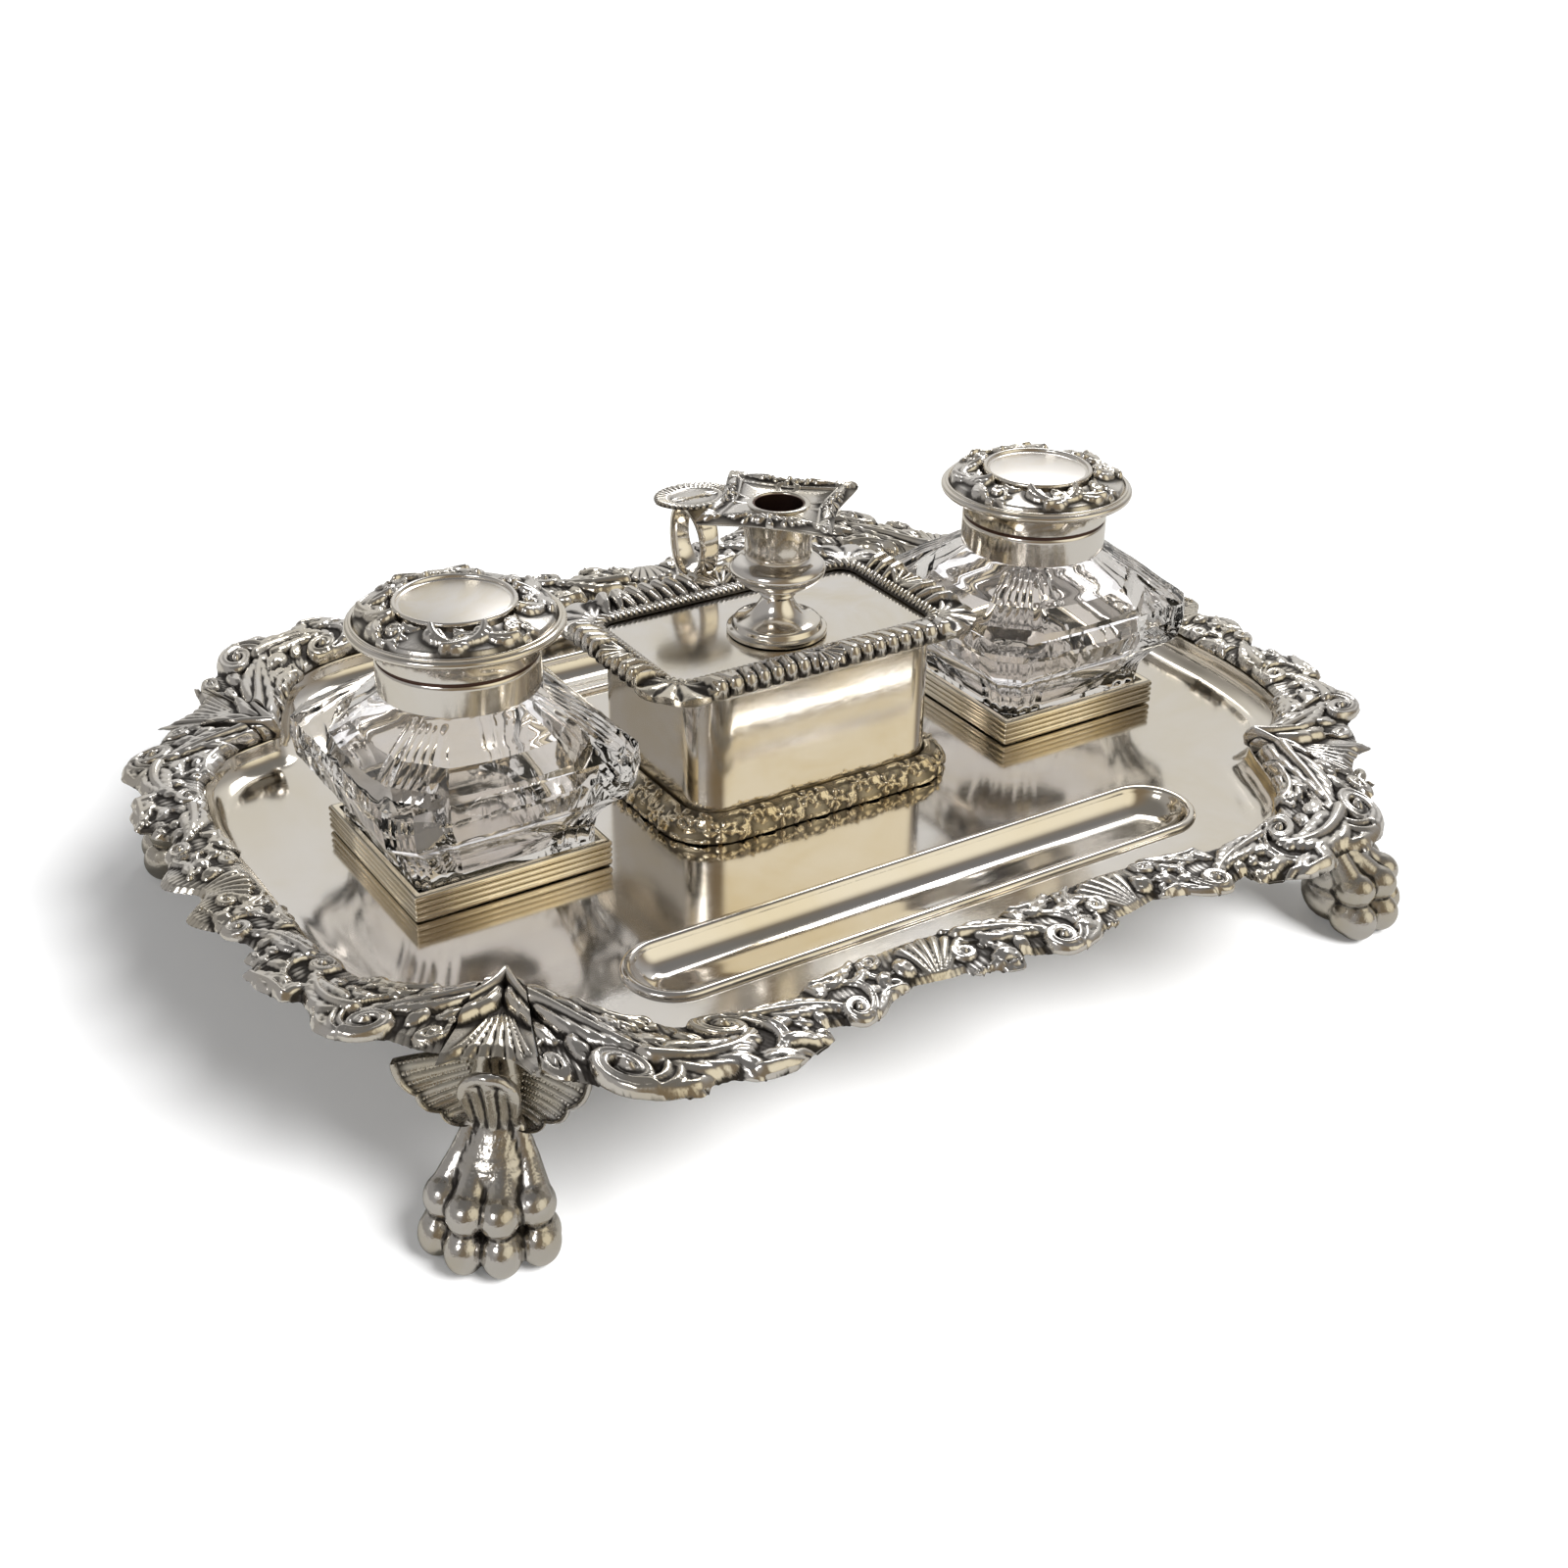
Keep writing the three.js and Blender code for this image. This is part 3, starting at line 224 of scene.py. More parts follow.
def outward_of(places, stations):
    """Level directions that point away from the tray, square to a closed curve."""
    ahead = on_line(places, stations + 0.25) - on_line(places, stations - 0.25)
    out = np.stack([ahead[:, 1], -ahead[:, 0]], -1)
    return out / np.linalg.norm(out, axis=1)[:, None]


def box_line(length, width, corner, count):
    """Points and outward directions round a rounded rectangle, evenly spaced by length."""
    straight_x, straight_y, arc = length - 2 * corner, width - 2 * corner, corner * RIGHT
    total = 2 * (straight_x + straight_y) + 4 * arc
    points, outs = [], []
    for i in range(count):
        at = total * i / count
        for turn in range(4):
            run = straight_x if turn % 2 == 0 else straight_y
            angle = (turn - 1) * RIGHT
            out = np.array((math.cos(angle), math.sin(angle)))
            along = np.array((-out[1], out[0]))
            depth = (width if turn % 2 == 0 else length) / 2
            if at < run:
                points.append(out * depth + along * (at - run / 2))
                outs.append(out)
                break
            at -= run
            if at < arc:
                swing = angle + at / corner if corner else angle
                centre = out * (depth - corner) + along * run / 2
                way = np.array((math.cos(swing), math.sin(swing)))
                points.append(centre + way * corner)
                outs.append(way)
                break
            at -= arc
    return np.asarray(points), np.asarray(outs), total


def raised(points, height):
    """Adds one height to flat points."""
    points = np.asarray(points, float)
    return np.concatenate([points, np.full(points.shape[:-1] + (1,), height)], -1)


def box_rings(box, steps, count):
    """Rings of a rounded box at (inset, height) steps."""
    length, width, corner = box
    return [raised(box_line(length - 2 * inset, width - 2 * inset, max(3, corner - inset),
                            count)[0], height) for inset, height in steps]


def arc_points(centre, radii, turns):
    """Points (x, y) of an arc, round or oval."""
    return [(centre[0] + radii[0] * math.cos(turn), centre[1] + radii[1] * math.sin(turn))
            for turn in turns]


# ---- Relief ----

def for_hand(turn, hand):
    """A turn, mirrored for the other hand."""
    return turn if hand > 0 else math.pi - turn


def flow(headings, reach):
    """Line from the origin that follows its headings for a given reach."""
    hop = np.stack([np.cos(headings), np.sin(headings)], -1) * reach / (len(headings) - 1)
    return np.concatenate([[(0, 0)], np.cumsum(hop[:-1], 0)])


class Relief:
    """Heights over a strip: s runs along it and t across it, in millimetres."""

    def __init__(self, length, low, high, wrap=False, step=FINE):
        self.length, self.wrap = length, wrap
        columns = max(8, round(length / step))
        self.s = np.linspace(0, length, columns, endpoint=not wrap)
        self.t = np.linspace(low, high, max(6, round((high - low) / step)))
        self.height = np.zeros((columns, len(self.t)))

    def rib(self, points, widths, rise=0.9, groove=0.0):
        """Raises a rounded rib along a line; the wider it is, the higher it stands."""
        points = np.asarray(points, float)
        widths = np.broadcast_to(np.asarray(widths, float), len(points))
        reach = widths.max()
        for shift in ((-self.length, 0, self.length) if self.wrap else (0,)):
            line = points + (shift, 0)
            s0, s1 = np.searchsorted(self.s, (line[:, 0].min() - reach, line[:, 0].max() + reach))
            t0, t1 = np.searchsorted(self.t, (line[:, 1].min() - reach, line[:, 1].max() + reach))
            if s1 <= s0 or t1 <= t0:
                continue
            s, t = self.s[s0:s1, None], self.t[None, t0:t1]
            nearest = np.full((s1 - s0, t1 - t0), 1.0)
            wide = np.zeros_like(nearest)
            for a, b, wa, wb in zip(line[:-1], line[1:], widths[:-1], widths[1:]):
                edge = b - a
                share = ((s - a[0]) * edge[0] + (t - a[1]) * edge[1]) / max(edge @ edge, 1e-9)
                share = np.clip(share, 0, 1)
                width = wa + (wb - wa) * share
                away = np.hypot(s - a[0] - share * edge[0], t - a[1] - share * edge[1]) / width
                wide = np.where(away < nearest, width, wide)
                nearest = np.minimum(nearest, away)
            best = np.sqrt(1 - nearest ** 2) * wide
            best *= 1 - groove * np.exp(-(nearest / 0.33) ** 2)
            spot = self.height[s0:s1, t0:t1]
            np.maximum(spot, best * rise, out=spot)

    def bead(self, s, t, radius, rise=1.0):
        """A round drop."""
        self.rib([(s, t), (s + 1e-4, t)], radius, rise)

    def put(self, shape, s, t, size, turn, hand, widths, rise=0.9, groove=0.0):
        """A rib from a line of unit size, which is scaled, mirrored, turned and moved."""
        shape = np.asarray(shape, float) * (size, size * hand)
        c, n = math.cos(turn), math.sin(turn)
        self.rib(shape @ np.array([[c, n], [-n, c]]) + (s, t), np.asarray(widths) * size,
                 rise, groove)

    def scroll(self, s, t, size, turn=0.0, hand=1, arc=3.5, lobes=5, body=0.25):
        """C-scroll: a bow round (s, t) that rolls into a volute, with leaf lobes outside it."""
        way = np.linspace(0, 1, 26)
        for k in range(lobes):
            share = (k + 0.3) / lobes
            root = arc * 0.95 * share
            steps = np.linspace(0, 1, 7)
            line = flow(root + 1.2 - 1.5 * steps, 0.85 - 0.45 * share)
            line = line + (math.cos(root), math.sin(root))
            widths = 0.4 * arc / lobes * (1 - 0.3 * share)
            widths = widths * (0.55 + 0.55 * np.sin(math.pi * (0.1 + 0.8 * steps)))
            self.put(line, s, t, size, turn, hand, widths, 0.8, 0.15)
        bow = np.stack([np.cos(arc * way), np.sin(arc * way)], -1)
        self.put(bow, s, t, size, turn, hand, body * (0.4 + 0.6 * way), 1.3, 0.5)
        eye = 0.52
        centre = np.array((math.cos(arc), math.sin(arc))) * (1 - eye)
        spin = arc + TAU * 1.2 * way ** 0.9
        shrink = eye * (1 - 0.72 * way)[:, None]
        curl = centre + np.stack([np.cos(spin), np.sin(spin)], -1) * shrink
        self.put(curl, s, t, size, turn, hand, body * (1 - 0.3 * way), 1.35, 0.3)
        self.put([centre, centre], s, t, size, turn, hand, (0.17, 0.17), 1.9)

    def leaf(self, s, t, size, turn=0.0, hand=1, lobes=6, bend=1.2, plump=0.08, side=0):
        """Acanthus: a curved stem with lobes that curl off it, on one side or both."""
        way = np.linspace(0, 1, 14)
        heads = bend * way ** 1.2
        stem = flow(heads, 1.0)
        steps = np.linspace(0, 1, 8)
        for sign in ((-1, 1) if side == 0 else (side,)):
            back = 1.9 if sign * bend < 0 else 1.3
            for k in range(lobes):
                at = (k + 0.5 + 0.2 * sign) / lobes * 12
                low, share = int(at), at / 12
                root = stem[low] + (stem[low + 1] - stem[low]) * (at - low)
                reach = 0.52 * (1 - 0.6 * share)
                reach *= 0.6 + 0.4 * math.sin(math.pi * min(1, share + 0.25))
                curl = heads[low] + sign * (0.95 - 0.3 * share - back * steps ** 1.2)
                widths = plump * (1 - 0.35 * share) * (0.35 + 0.75 * np.sin(0.31 + 2.36 * steps))
                self.put(root + flow(curl, reach), s, t, size, turn, hand, widths, 0.95)
        self.put(stem, s, t, size, turn, hand, plump * (1.15 - 0.65 * way), 1.3)

    def shell(self, s, t, size, turn=0.0, flutes=7, spread=2.3, slim=0.5, rise=0.8):
        """A fan of straight flutes with round ends."""
        for k in range(flutes):
            angle = (k / (flutes - 1) - 0.5) * spread
            reach = 1 - 0.16 * abs(angle) ** 1.5
            way = np.array((0.14, 0.5, 0.86)) * reach
            line = np.stack([way * np.cos(angle), way * np.sin(angle)], -1)
            widths = slim * spread / (flutes - 1) * np.array((0.18, 0.55, 0.92))
            self.put(line, s, t, size, turn, 1, widths, rise)

    def flower(self, s, t, size, petals=6, turn=0.0):
        """Round petals about a raised heart."""
        for k in range(petals):
            angle = turn + k * TAU / petals
            line = np.outer((0.35, 0.85), (math.cos(angle), math.sin(angle)))
            self.put(line, s, t, size, 0, 1, (0.2, 0.36), 0.75)
        self.bead(s, t, size * 0.32, 1.5)

    def hollows(self, blur=1.6):
        """How far each spot lies below what surrounds it, from 0 to 1."""
        around = self.height.copy()
        step = self.s[1] - self.s[0]
        for _ in range(int((blur / step) ** 2 * 2)):
            padded = np.pad(around, ((1, 1), (0, 0)), mode="wrap" if self.wrap else "edge")
            around = (padded[:-2] + 2 * around + padded[2:]) / 4
            padded = np.pad(around, ((0, 0), (1, 1)), mode="edge")
            around = (padded[:, :-2] + 2 * around + padded[:, 2:]) / 4
        return np.clip((around - self.height) * 2.1 + 0.2, 0, 1)

    def read(self, field, columns, t):
        """Values of a field at whole columns and any t."""
        place = np.clip((t - self.t[0]) / (self.t[1] - self.t[0]), 0, len(self.t) - 1.001)
        low = np.floor(place).astype(int)
        share = place - low
        return field[columns, low] * (1 - share) + field[columns, low + 1] * share

    def face(self, high, across):
        """Grid over t from 0 to high: t, the heights and the hollows."""
        columns = np.arange(len(self.s))[:, None]
        t = np.linspace(0, high, across)[None, :] + 0 * columns
        return t, self.read(self.height, columns, t), self.read(self.hollows(), columns, t)


def cast(piece, relief, inner, outer, place, across, ground, foot):
    """Closed cast strip over a relief: place(column, t, height) gives its points.

    ground(share) is the height of the bare metal across the strip, and foot lists the
    (share, height) points of its underside from the outer edge back to the inner one.
    """
    columns = np.arange(len(relief.s))[:, None]
    share = np.linspace(0, 1, across)[None, :]
    t = inner[:, None] + (outer - inner)[:, None] * share
    height = relief.read(relief.height, columns, t) + ground(share)
    dark = relief.read(relief.hollows(), columns, t)
    under = np.asarray(foot, float)
    low_t = inner[:, None] + (outer - inner)[:, None] * under[None, :, 0]
    low = np.broadcast_to(under[None, :, 1], low_t.shape)
    t, height = np.concatenate([t, low_t], 1), np.concatenate([height, low], 1)
    dark = np.concatenate([dark, np.full(low_t.shape, 0.5)], 1)
    piece.loft(place(columns, t, height), closed=relief.wrap, hollow=dark)


# ---- Materials ----

def feed(tree, socket, value):
    """Links an output to a socket, or sets the socket's own number, vector or colour."""
    if isinstance(value, bpy.types.NodeSocket):
        tree.links.new(value, socket)
    elif socket.type == "RGBA":
        socket.default_value = (*value, 1)
    else:
        socket.default_value = value


def node(tree, kind, at, feeds=(), **values):
    """Adds a node; feeds says, by name or number, what each of its inputs gets."""
    made = tree.nodes.new(kind)
    made.location = at
    for name, value in values.items():
        setattr(made, name, value)
    for name, value in dict(feeds).items():
        feed(tree, made.inputs[name], value)
    return made


def arithmetic(tree, operation, at, a, b):
    """Result, from 0 to 1, of a sum over two inputs."""
    return node(tree, "ShaderNodeMath", at, {0: a, 1: b}, operation=operation,
                use_clamp=True).outputs[0]


def mixed(tree, at, share, a, b):
    """Colour between two."""
    return node(tree, "ShaderNodeMix", at, {"Factor": share, "A": a, "B": b},
                data_type="RGBA").outputs["Result"]


def eased(tree, at, value, low, high, top=1.0):
    """Soft step from 0 to top between two values."""
    return node(tree, "ShaderNodeMapRange", at, {
        "Value": value, "From Min": low, "From Max": high, "To Max": top},
        interpolation_type="SMOOTHSTEP").outputs["Result"]


def noise(tree, at, where, size, detail, **more):
    """Cloudy values over a surface."""
    return node(tree, "ShaderNodeTexNoise", at, {
        "Vector": where, "Scale": size, "Detail": detail, **more}).outputs["Fac"]


def node_group(name, inputs, outputs):
    """A new shader group, with its inputs' defaults; also gives its ends and object space."""
    tree = bpy.data.node_groups.new(name, "ShaderNodeTree")
    for title, value in inputs.items():
        tree.interface.new_socket(title, in_out="INPUT",
                                  socket_type="NodeSocketFloat").default_value = value
    for title in outputs:
        tree.interface.new_socket(title, in_out="OUTPUT", socket_type="NodeSocketFloat")
    return (tree, node(tree, "NodeGroupInput", (-900, 0)).outputs,
            node(tree, "NodeGroupOutput", (700, 0)).inputs,
            node(tree, "ShaderNodeTexCoord", (-900, 300)).outputs["Object"])


def plate_wear_group():
    """Toning, fine scratches and soft dents of handled silver plate."""
    tree, ins, outs, where = node_group(
        "plate wear", {"Toning size": 18.0, "Scratch depth": 0.5, "Gloss": 0.16},
        ("Toning", "Roughness", "Height"))
    cloud = noise(tree, (-500, 300), where, ins["Toning size"], 5, Roughness=0.6, Distortion=0.8)
    stretch = node(tree, "ShaderNodeMapping", (-700, -100), {
        "Vector": where, "Scale": (260, 2600, 900), "Rotation": (0.2, 0.3, 0.5)})
    lines = noise(tree, (-500, -100), stretch.outputs["Vector"], 1.0, 3)
    rub = node(tree, "ShaderNodeMapRange", (-250, 20), {
        "Value": lines, "To Min": -0.05, "To Max": 0.07})
    dents = noise(tree, (-500, -350), where, 38, 2)
    scored = node(tree, "ShaderNodeMath", (0, -150), {0: lines, 1: ins["Scratch depth"]},
                  operation="MULTIPLY")
    sunk = node(tree, "ShaderNodeMath", (200, -250), {0: dents, 1: 1.2, 2: scored.outputs[0]},
                operation="MULTIPLY_ADD")
    feed(tree, outs["Toning"], eased(tree, (-250, 300), cloud, 0.38, 0.68))
    feed(tree, outs["Roughness"],
         arithmetic(tree, "ADD", (200, 60), ins["Gloss"], rub.outputs["Result"]))
    feed(tree, outs["Height"], sunk.outputs[0])
    return tree


def chased_grain_group():
    """Punched and furred grain of chased castings."""
    tree, ins, outs, where = node_group("chased grain", {"Grain size": 900}, ("Height",))
    cells = node(tree, "ShaderNodeTexVoronoi", (-300, 100), {
        "Vector": where, "Scale": ins["Grain size"]}, feature="SMOOTH_F1")
    feed(tree, outs["Height"], cells.outputs["Distance"])
    return tree


def material(name):
    """A new material, its tree and the inputs of its Principled shader."""
    made = bpy.data.materials.new(name)
    made.use_nodes = True
    return made, made.node_tree, made.node_tree.nodes["Principled BSDF"].inputs


def silver(name, wear, grain, gloss, toning, dents=0.03, scratch=0.3, darken=0.0,
           grain_size=0, grain_depth=0.0, depth=1.0, tint=(1.0, 1.0, 1.0)):
    """Silver plate: darken tarnishes the hollows, and a grain size adds chased grain."""
    looks = bpy.context.scene.inkstand_looks
    _, tree, shader = material(name)
    worn = node(tree, "ShaderNodeGroup", (-900, 100), {
        "Toning size": toning, "Scratch depth": scratch, "Gloss": gloss},
        node_tree=wear).outputs
    cool, warm = ([depth * a * b for a, b in zip(look, tint)]
                  for look in (looks.silver, looks.warm_silver))
    colour = mixed(tree, (-600, 300), worn["Toning"], cool, warm)
    rough = worn["Roughness"]
    if darken:
        hollow = node(tree, "ShaderNodeAttribute", (-900, -250), attribute_name="hollow")
        dark = eased(tree, (-650, -250), hollow.outputs["Fac"], 0.16, 0.85, darken)
        colour = mixed(tree, (-350, 300), dark, colour, looks.tarnish)
        rough = node(tree, "ShaderNodeMath", (-350, 0), {0: dark, 1: 0.35, 2: rough},
                     operation="MULTIPLY_ADD", use_clamp=True).outputs[0]
    bump = node(tree, "ShaderNodeBump", (-150, -200), {
        "Height": worn["Height"], "Distance": 0.001, "Strength": dents})
    if grain_size:
        chased = node(tree, "ShaderNodeGroup", (-600, -500), {"Grain size": grain_size},
                      node_tree=grain)
        fine = node(tree, "ShaderNodeBump", (-350, -450), {
            "Height": chased.outputs["Height"], "Distance": 0.0006, "Strength": grain_depth})
        feed(tree, bump.inputs["Normal"], fine.outputs["Normal"])
    feed(tree, shader["Metallic"], 1.0)
    feed(tree, shader["Base Color"], colour)
    feed(tree, shader["Roughness"], rough)
    feed(tree, shader["Normal"], bump.outputs["Normal"])


def cut_glass():
    """Thick clear glass with a faintly uneven, hand-polished surface."""
    _, tree, shader = material("cut glass")
    where = node(tree, "ShaderNodeTexCoord", (-800, 0)).outputs["Object"]
    rub = node(tree, "ShaderNodeMapRange", (-350, 0), {
        "Value": noise(tree, (-600, 0), where, 240, 3), "To Min": 0.0, "To Max": 0.06})
    feed(tree, shader["Base Color"], bpy.context.scene.inkstand_looks.glass)
    feed(tree, shader["Transmission Weight"], 1.0)
    feed(tree, shader["IOR"], 1.4)
    feed(tree, shader["Roughness"], rub.outputs["Result"])


FINISHES = {
    "tray silver": dict(gloss=0.1, toning=9, dents=0.012, scratch=0.35),
    "satin silver": dict(gloss=0.36, toning=40, dents=0.02, scratch=0.6),
    "plain silver": dict(gloss=0.11, toning=26, dents=0.02, scratch=0.4),
    "reeded silver": dict(gloss=0.13, toning=22, dents=0.008, scratch=0.2, darken=0.85,
                          depth=1.12, tint=(1.0, 0.95, 0.82)),
    "cast silver": dict(gloss=0.15, toning=30, darken=0.96, grain_size=1300,
                        grain_depth=0.05, depth=0.88),
    "paw silver": dict(gloss=0.2, toning=34, darken=0.95, grain_size=1500,
                       grain_depth=0.1, depth=0.74),
    "lid silver": dict(gloss=0.15, toning=30, darken=0.88, grain_size=1300,
                       grain_depth=0.04, depth=0.92),
    "toned silver": dict(gloss=0.17, toning=60, darken=0.85, grain_size=1300,
                         grain_depth=0.08, depth=0.92, tint=(1.0, 0.92, 0.74)),
    # Near-black brown metal: painted shade down in the nozzle well and painted shadow in the gap
    # under each lid
    "painted shade lining": dict(gloss=0.45, toning=60, depth=0.13, tint=(1.0, 0.62, 0.55)),
}


def finish(name):
    """A material by name; all are made on the first call."""
    if name not in bpy.data.materials:
        wear, grain = plate_wear_group(), chased_grain_group()
        for title, values in FINISHES.items():
            silver(title, wear, grain, **values)
        cut_glass()
    return bpy.data.materials[name]


# ---- Settings ----

def metres(name, description, default):
    return bpy.props.FloatProperty(name=name, description=description, default=default,
                                   min=0, unit="LENGTH", precision=5)


def rgb(name, description, default):
    return bpy.props.FloatVectorProperty(name=name, description=description, default=default,
                                         subtype="COLOR", size=3, min=0, max=1)


def watts(name, description, default):
    return bpy.props.FloatProperty(name=name, description=description, default=default,
                                   min=0, unit="POWER")


class InkstandSizes(bpy.types.PropertyGroup):
    """Sizes of the visual detail."""

    border_ground: metres("Border ground", "Metal under the relief of the tray border", 0.0014)
    border_swell: metres("Border swell", "Crown of the border between its edges", 0.0012)
    lid_relief: metres("Lid relief", "Metal under the leaves of the lids", 0.0009)
    glass_cut: metres("Glass cut", "Depth of the facets cut in the bottles", 0.0009)
    paw_detail: metres("Paw detail", "Size of the smallest detail of a paw foot", 0.00055)
    volute: metres("Volute", "Radius of the corner volutes of the border", 0.0062)


class InkstandLooks(bpy.types.PropertyGroup):
    """Colours of the metal, the glass and the studio."""

    silver: rgb("Silver", "Fresh silver plate", (0.83, 0.80, 0.765))
    warm_silver: rgb("Toned silver", "Plate with a warm tone", (0.78, 0.72, 0.61))
    tarnish: rgb("Tarnish", "Dark tarnish in the hollows", (0.035, 0.030, 0.027))
    glass: rgb("Glass", "Clear cut glass", (0.99, 0.98, 0.985))
    ground: rgb("Studio floor", "Plain pale floor", (0.86, 0.86, 0.86))
    ground_mirrored: rgb("Mirrored floor", "The floor in reflections", (0.42, 0.41, 0.385))
    room_even: rgb("Room light", "Even light of the studio", (0.24, 0.24, 0.24))
    room_dim: rgb("Room, dim", "Reflected room all round", (0.38, 0.37, 0.36))
    room_bright: rgb("Room, bright", "Bright wall behind", (0.74, 0.73, 0.71))
    room_top: rgb("Room, top", "Reflected ceiling", (0.20, 0.195, 0.19))
    room_front: rgb("Room, front", "Reflected warm room in front", (0.24, 0.19, 0.13))
    room_window: rgb("Room, window", "Reflected warm window in front", (1.0, 0.92, 0.72))
    room_through: rgb("Room, through glass", "Mirrored light behind the glass",
                      (0.66, 0.64, 0.60))
    key: watts("Key light", "Power of the main soft lamp", 3.6)
    fill: watts("Fill light", "Power of the soft fill lamp", 2.4)


class Dresser:
    """What the operators share."""

    bl_options = {"REGISTER", "UNDO"}

    @property
    def sizes(self):
        return bpy.context.scene.inkstand_sizes


# ---- Tray ----

COVE_RUN = 8.0
COVE_FOOT = COVE_RUN + 2.4
LEDGE = 7.5
TROUGH_HALF = 91.0
TROUGH_WIDE = 14.0
TROUGH_Y = 80.0
TROUGH_DEPTH = 4.6


def trough_line(side, count=56):
    """Points and outward directions round a pen trough."""
    points, outs = [], []
    for end in (1, -1):
        for i in range(count + 1):
            angle = (i / count - end / 2) * math.pi
            out = np.array((math.cos(angle), math.sin(angle)))
            points.append(out * TROUGH_WIDE + (end * (TROUGH_HALF - TROUGH_WIDE), side * TROUGH_Y))
            outs.append(out)
    return np.asarray(points), np.asarray(outs)


def trough_section():
    """Raised bead, sloping side and rounded channel: (outward, height, thickness share)."""
    bead = arc_points((-1.6, 0), (1.6, 1.5), np.linspace(0, 3.0, 11))
    slope = [(-3.3 - 9.9 * share, -TROUGH_DEPTH * (1 - (1 - share) ** 3.2))
             for share in np.linspace(0.02, 1, 18)]
    return [(1.6, 0), (0.7, 0)] + bead + slope


def cove_section():
    """Foot, cove, plain rim and ledge, and back below them: (outward, height)."""
    section = [(-COVE_FOOT, 0), (-COVE_RUN - 0.9, 0)]
    for turn in np.linspace(0.05, 1.15, 11):
        section.append((COVE_RUN * (math.sin(turn) - 1), RIM_RISE * (1 - math.cos(turn))))
    section += [(-0.25, RIM_RISE - 0.6), (0.15, RIM_RISE - 0.12), (0.8, RIM_RISE),
                (LEDGE - 0.5, RIM_RISE), (LEDGE, RIM_RISE - 0.5), (LEDGE, RIM_RISE - SHEET),
                (SHEET, RIM_RISE - SHEET)]
    for turn in (1.1, 0.75, 0.35, 0.0):
        section.append((COVE_RUN * (math.sin(turn) - 1) + SHEET * math.sin(turn),
                        RIM_RISE * (1 - math.cos(turn)) - SHEET * math.cos(turn)))
    return section + [(-COVE_FOOT, -SHEET)]


class INKSTAND_OT_tray(Dresser, bpy.types.Operator):
    """Make the polished tray plate with its cove, ledge and two pen troughs"""
    bl_idname = "inkstand.tray"
    bl_label = "Tray plate"

    def execute(self, context):
        stations = np.arange(0, ROUND, 0.1)
        line, out = on_line(RIM, stations), outward_of(RIM, stations)
        cove = cove_section()
        points = [raised(line + out * away, FLOOR + rise) for away, rise in cove]
        faces = [sheet(len(cove), len(line), False, True)]
        rings = [np.arange(len(line))]
        lows = [rings[0] + (len(cove) - 1) * len(line)]
        count = len(cove) * len(line)
        section = trough_section()
        below = [(a, h - SHEET) for a, h in section[::-1]]
        for side in (-1, 1):
            track, way = trough_line(side)
            loops = section + below
            points += [raised(track + way * away, FLOOR + rise) for away, rise in loops]
            half = len(section)
            faces.append(sheet(half, len(track), False, True) + count)
            faces.append(sheet(half, len(track), False, True) + count + half * len(track))
            at = np.arange(len(track))
            faces.append((at + count + (half - 1) * len(track))[None, :])
            faces.append((at + count + half * len(track))[None, ::-1])
            rings.append(at + count)
            lows.append(at + count + (len(loops) - 1) * len(track))
            count += len(loops) * len(track)
        points = np.concatenate(points)
        for group in (rings, lows):
            order = np.concatenate(group)
            flat = [[Vector((*points[i][:2], 0)) for i in ring] for ring in group]
            faces.append(order[np.asarray(tessellate_polygon(flat))])
        piece = Piece("tray-plate")
        piece.points, piece.faces = [points], faces
        piece.hollow, piece.count = [np.zeros(len(points))], len(points)
        seat(piece.make(finish("tray silver"), 32, True), "tray", "polished_silver", "tray_plate")
        return {"FINISHED"}


# ---- Cast border of the tray ----

# Sides of the tray in order, each with the corner before it
SIDES = (("back", "back_right"), ("left", "back_left"), ("front", "front_left"),
         ("right", "front_right"))
LONG_UNITS, SHORT_UNITS = 9, 7
RUN_GAP = 0.06
# Reach of the relief from the rim line, inward and outward, and the height of real carving
STRIP, CARVED = (-3.5, 38.0), 0.35


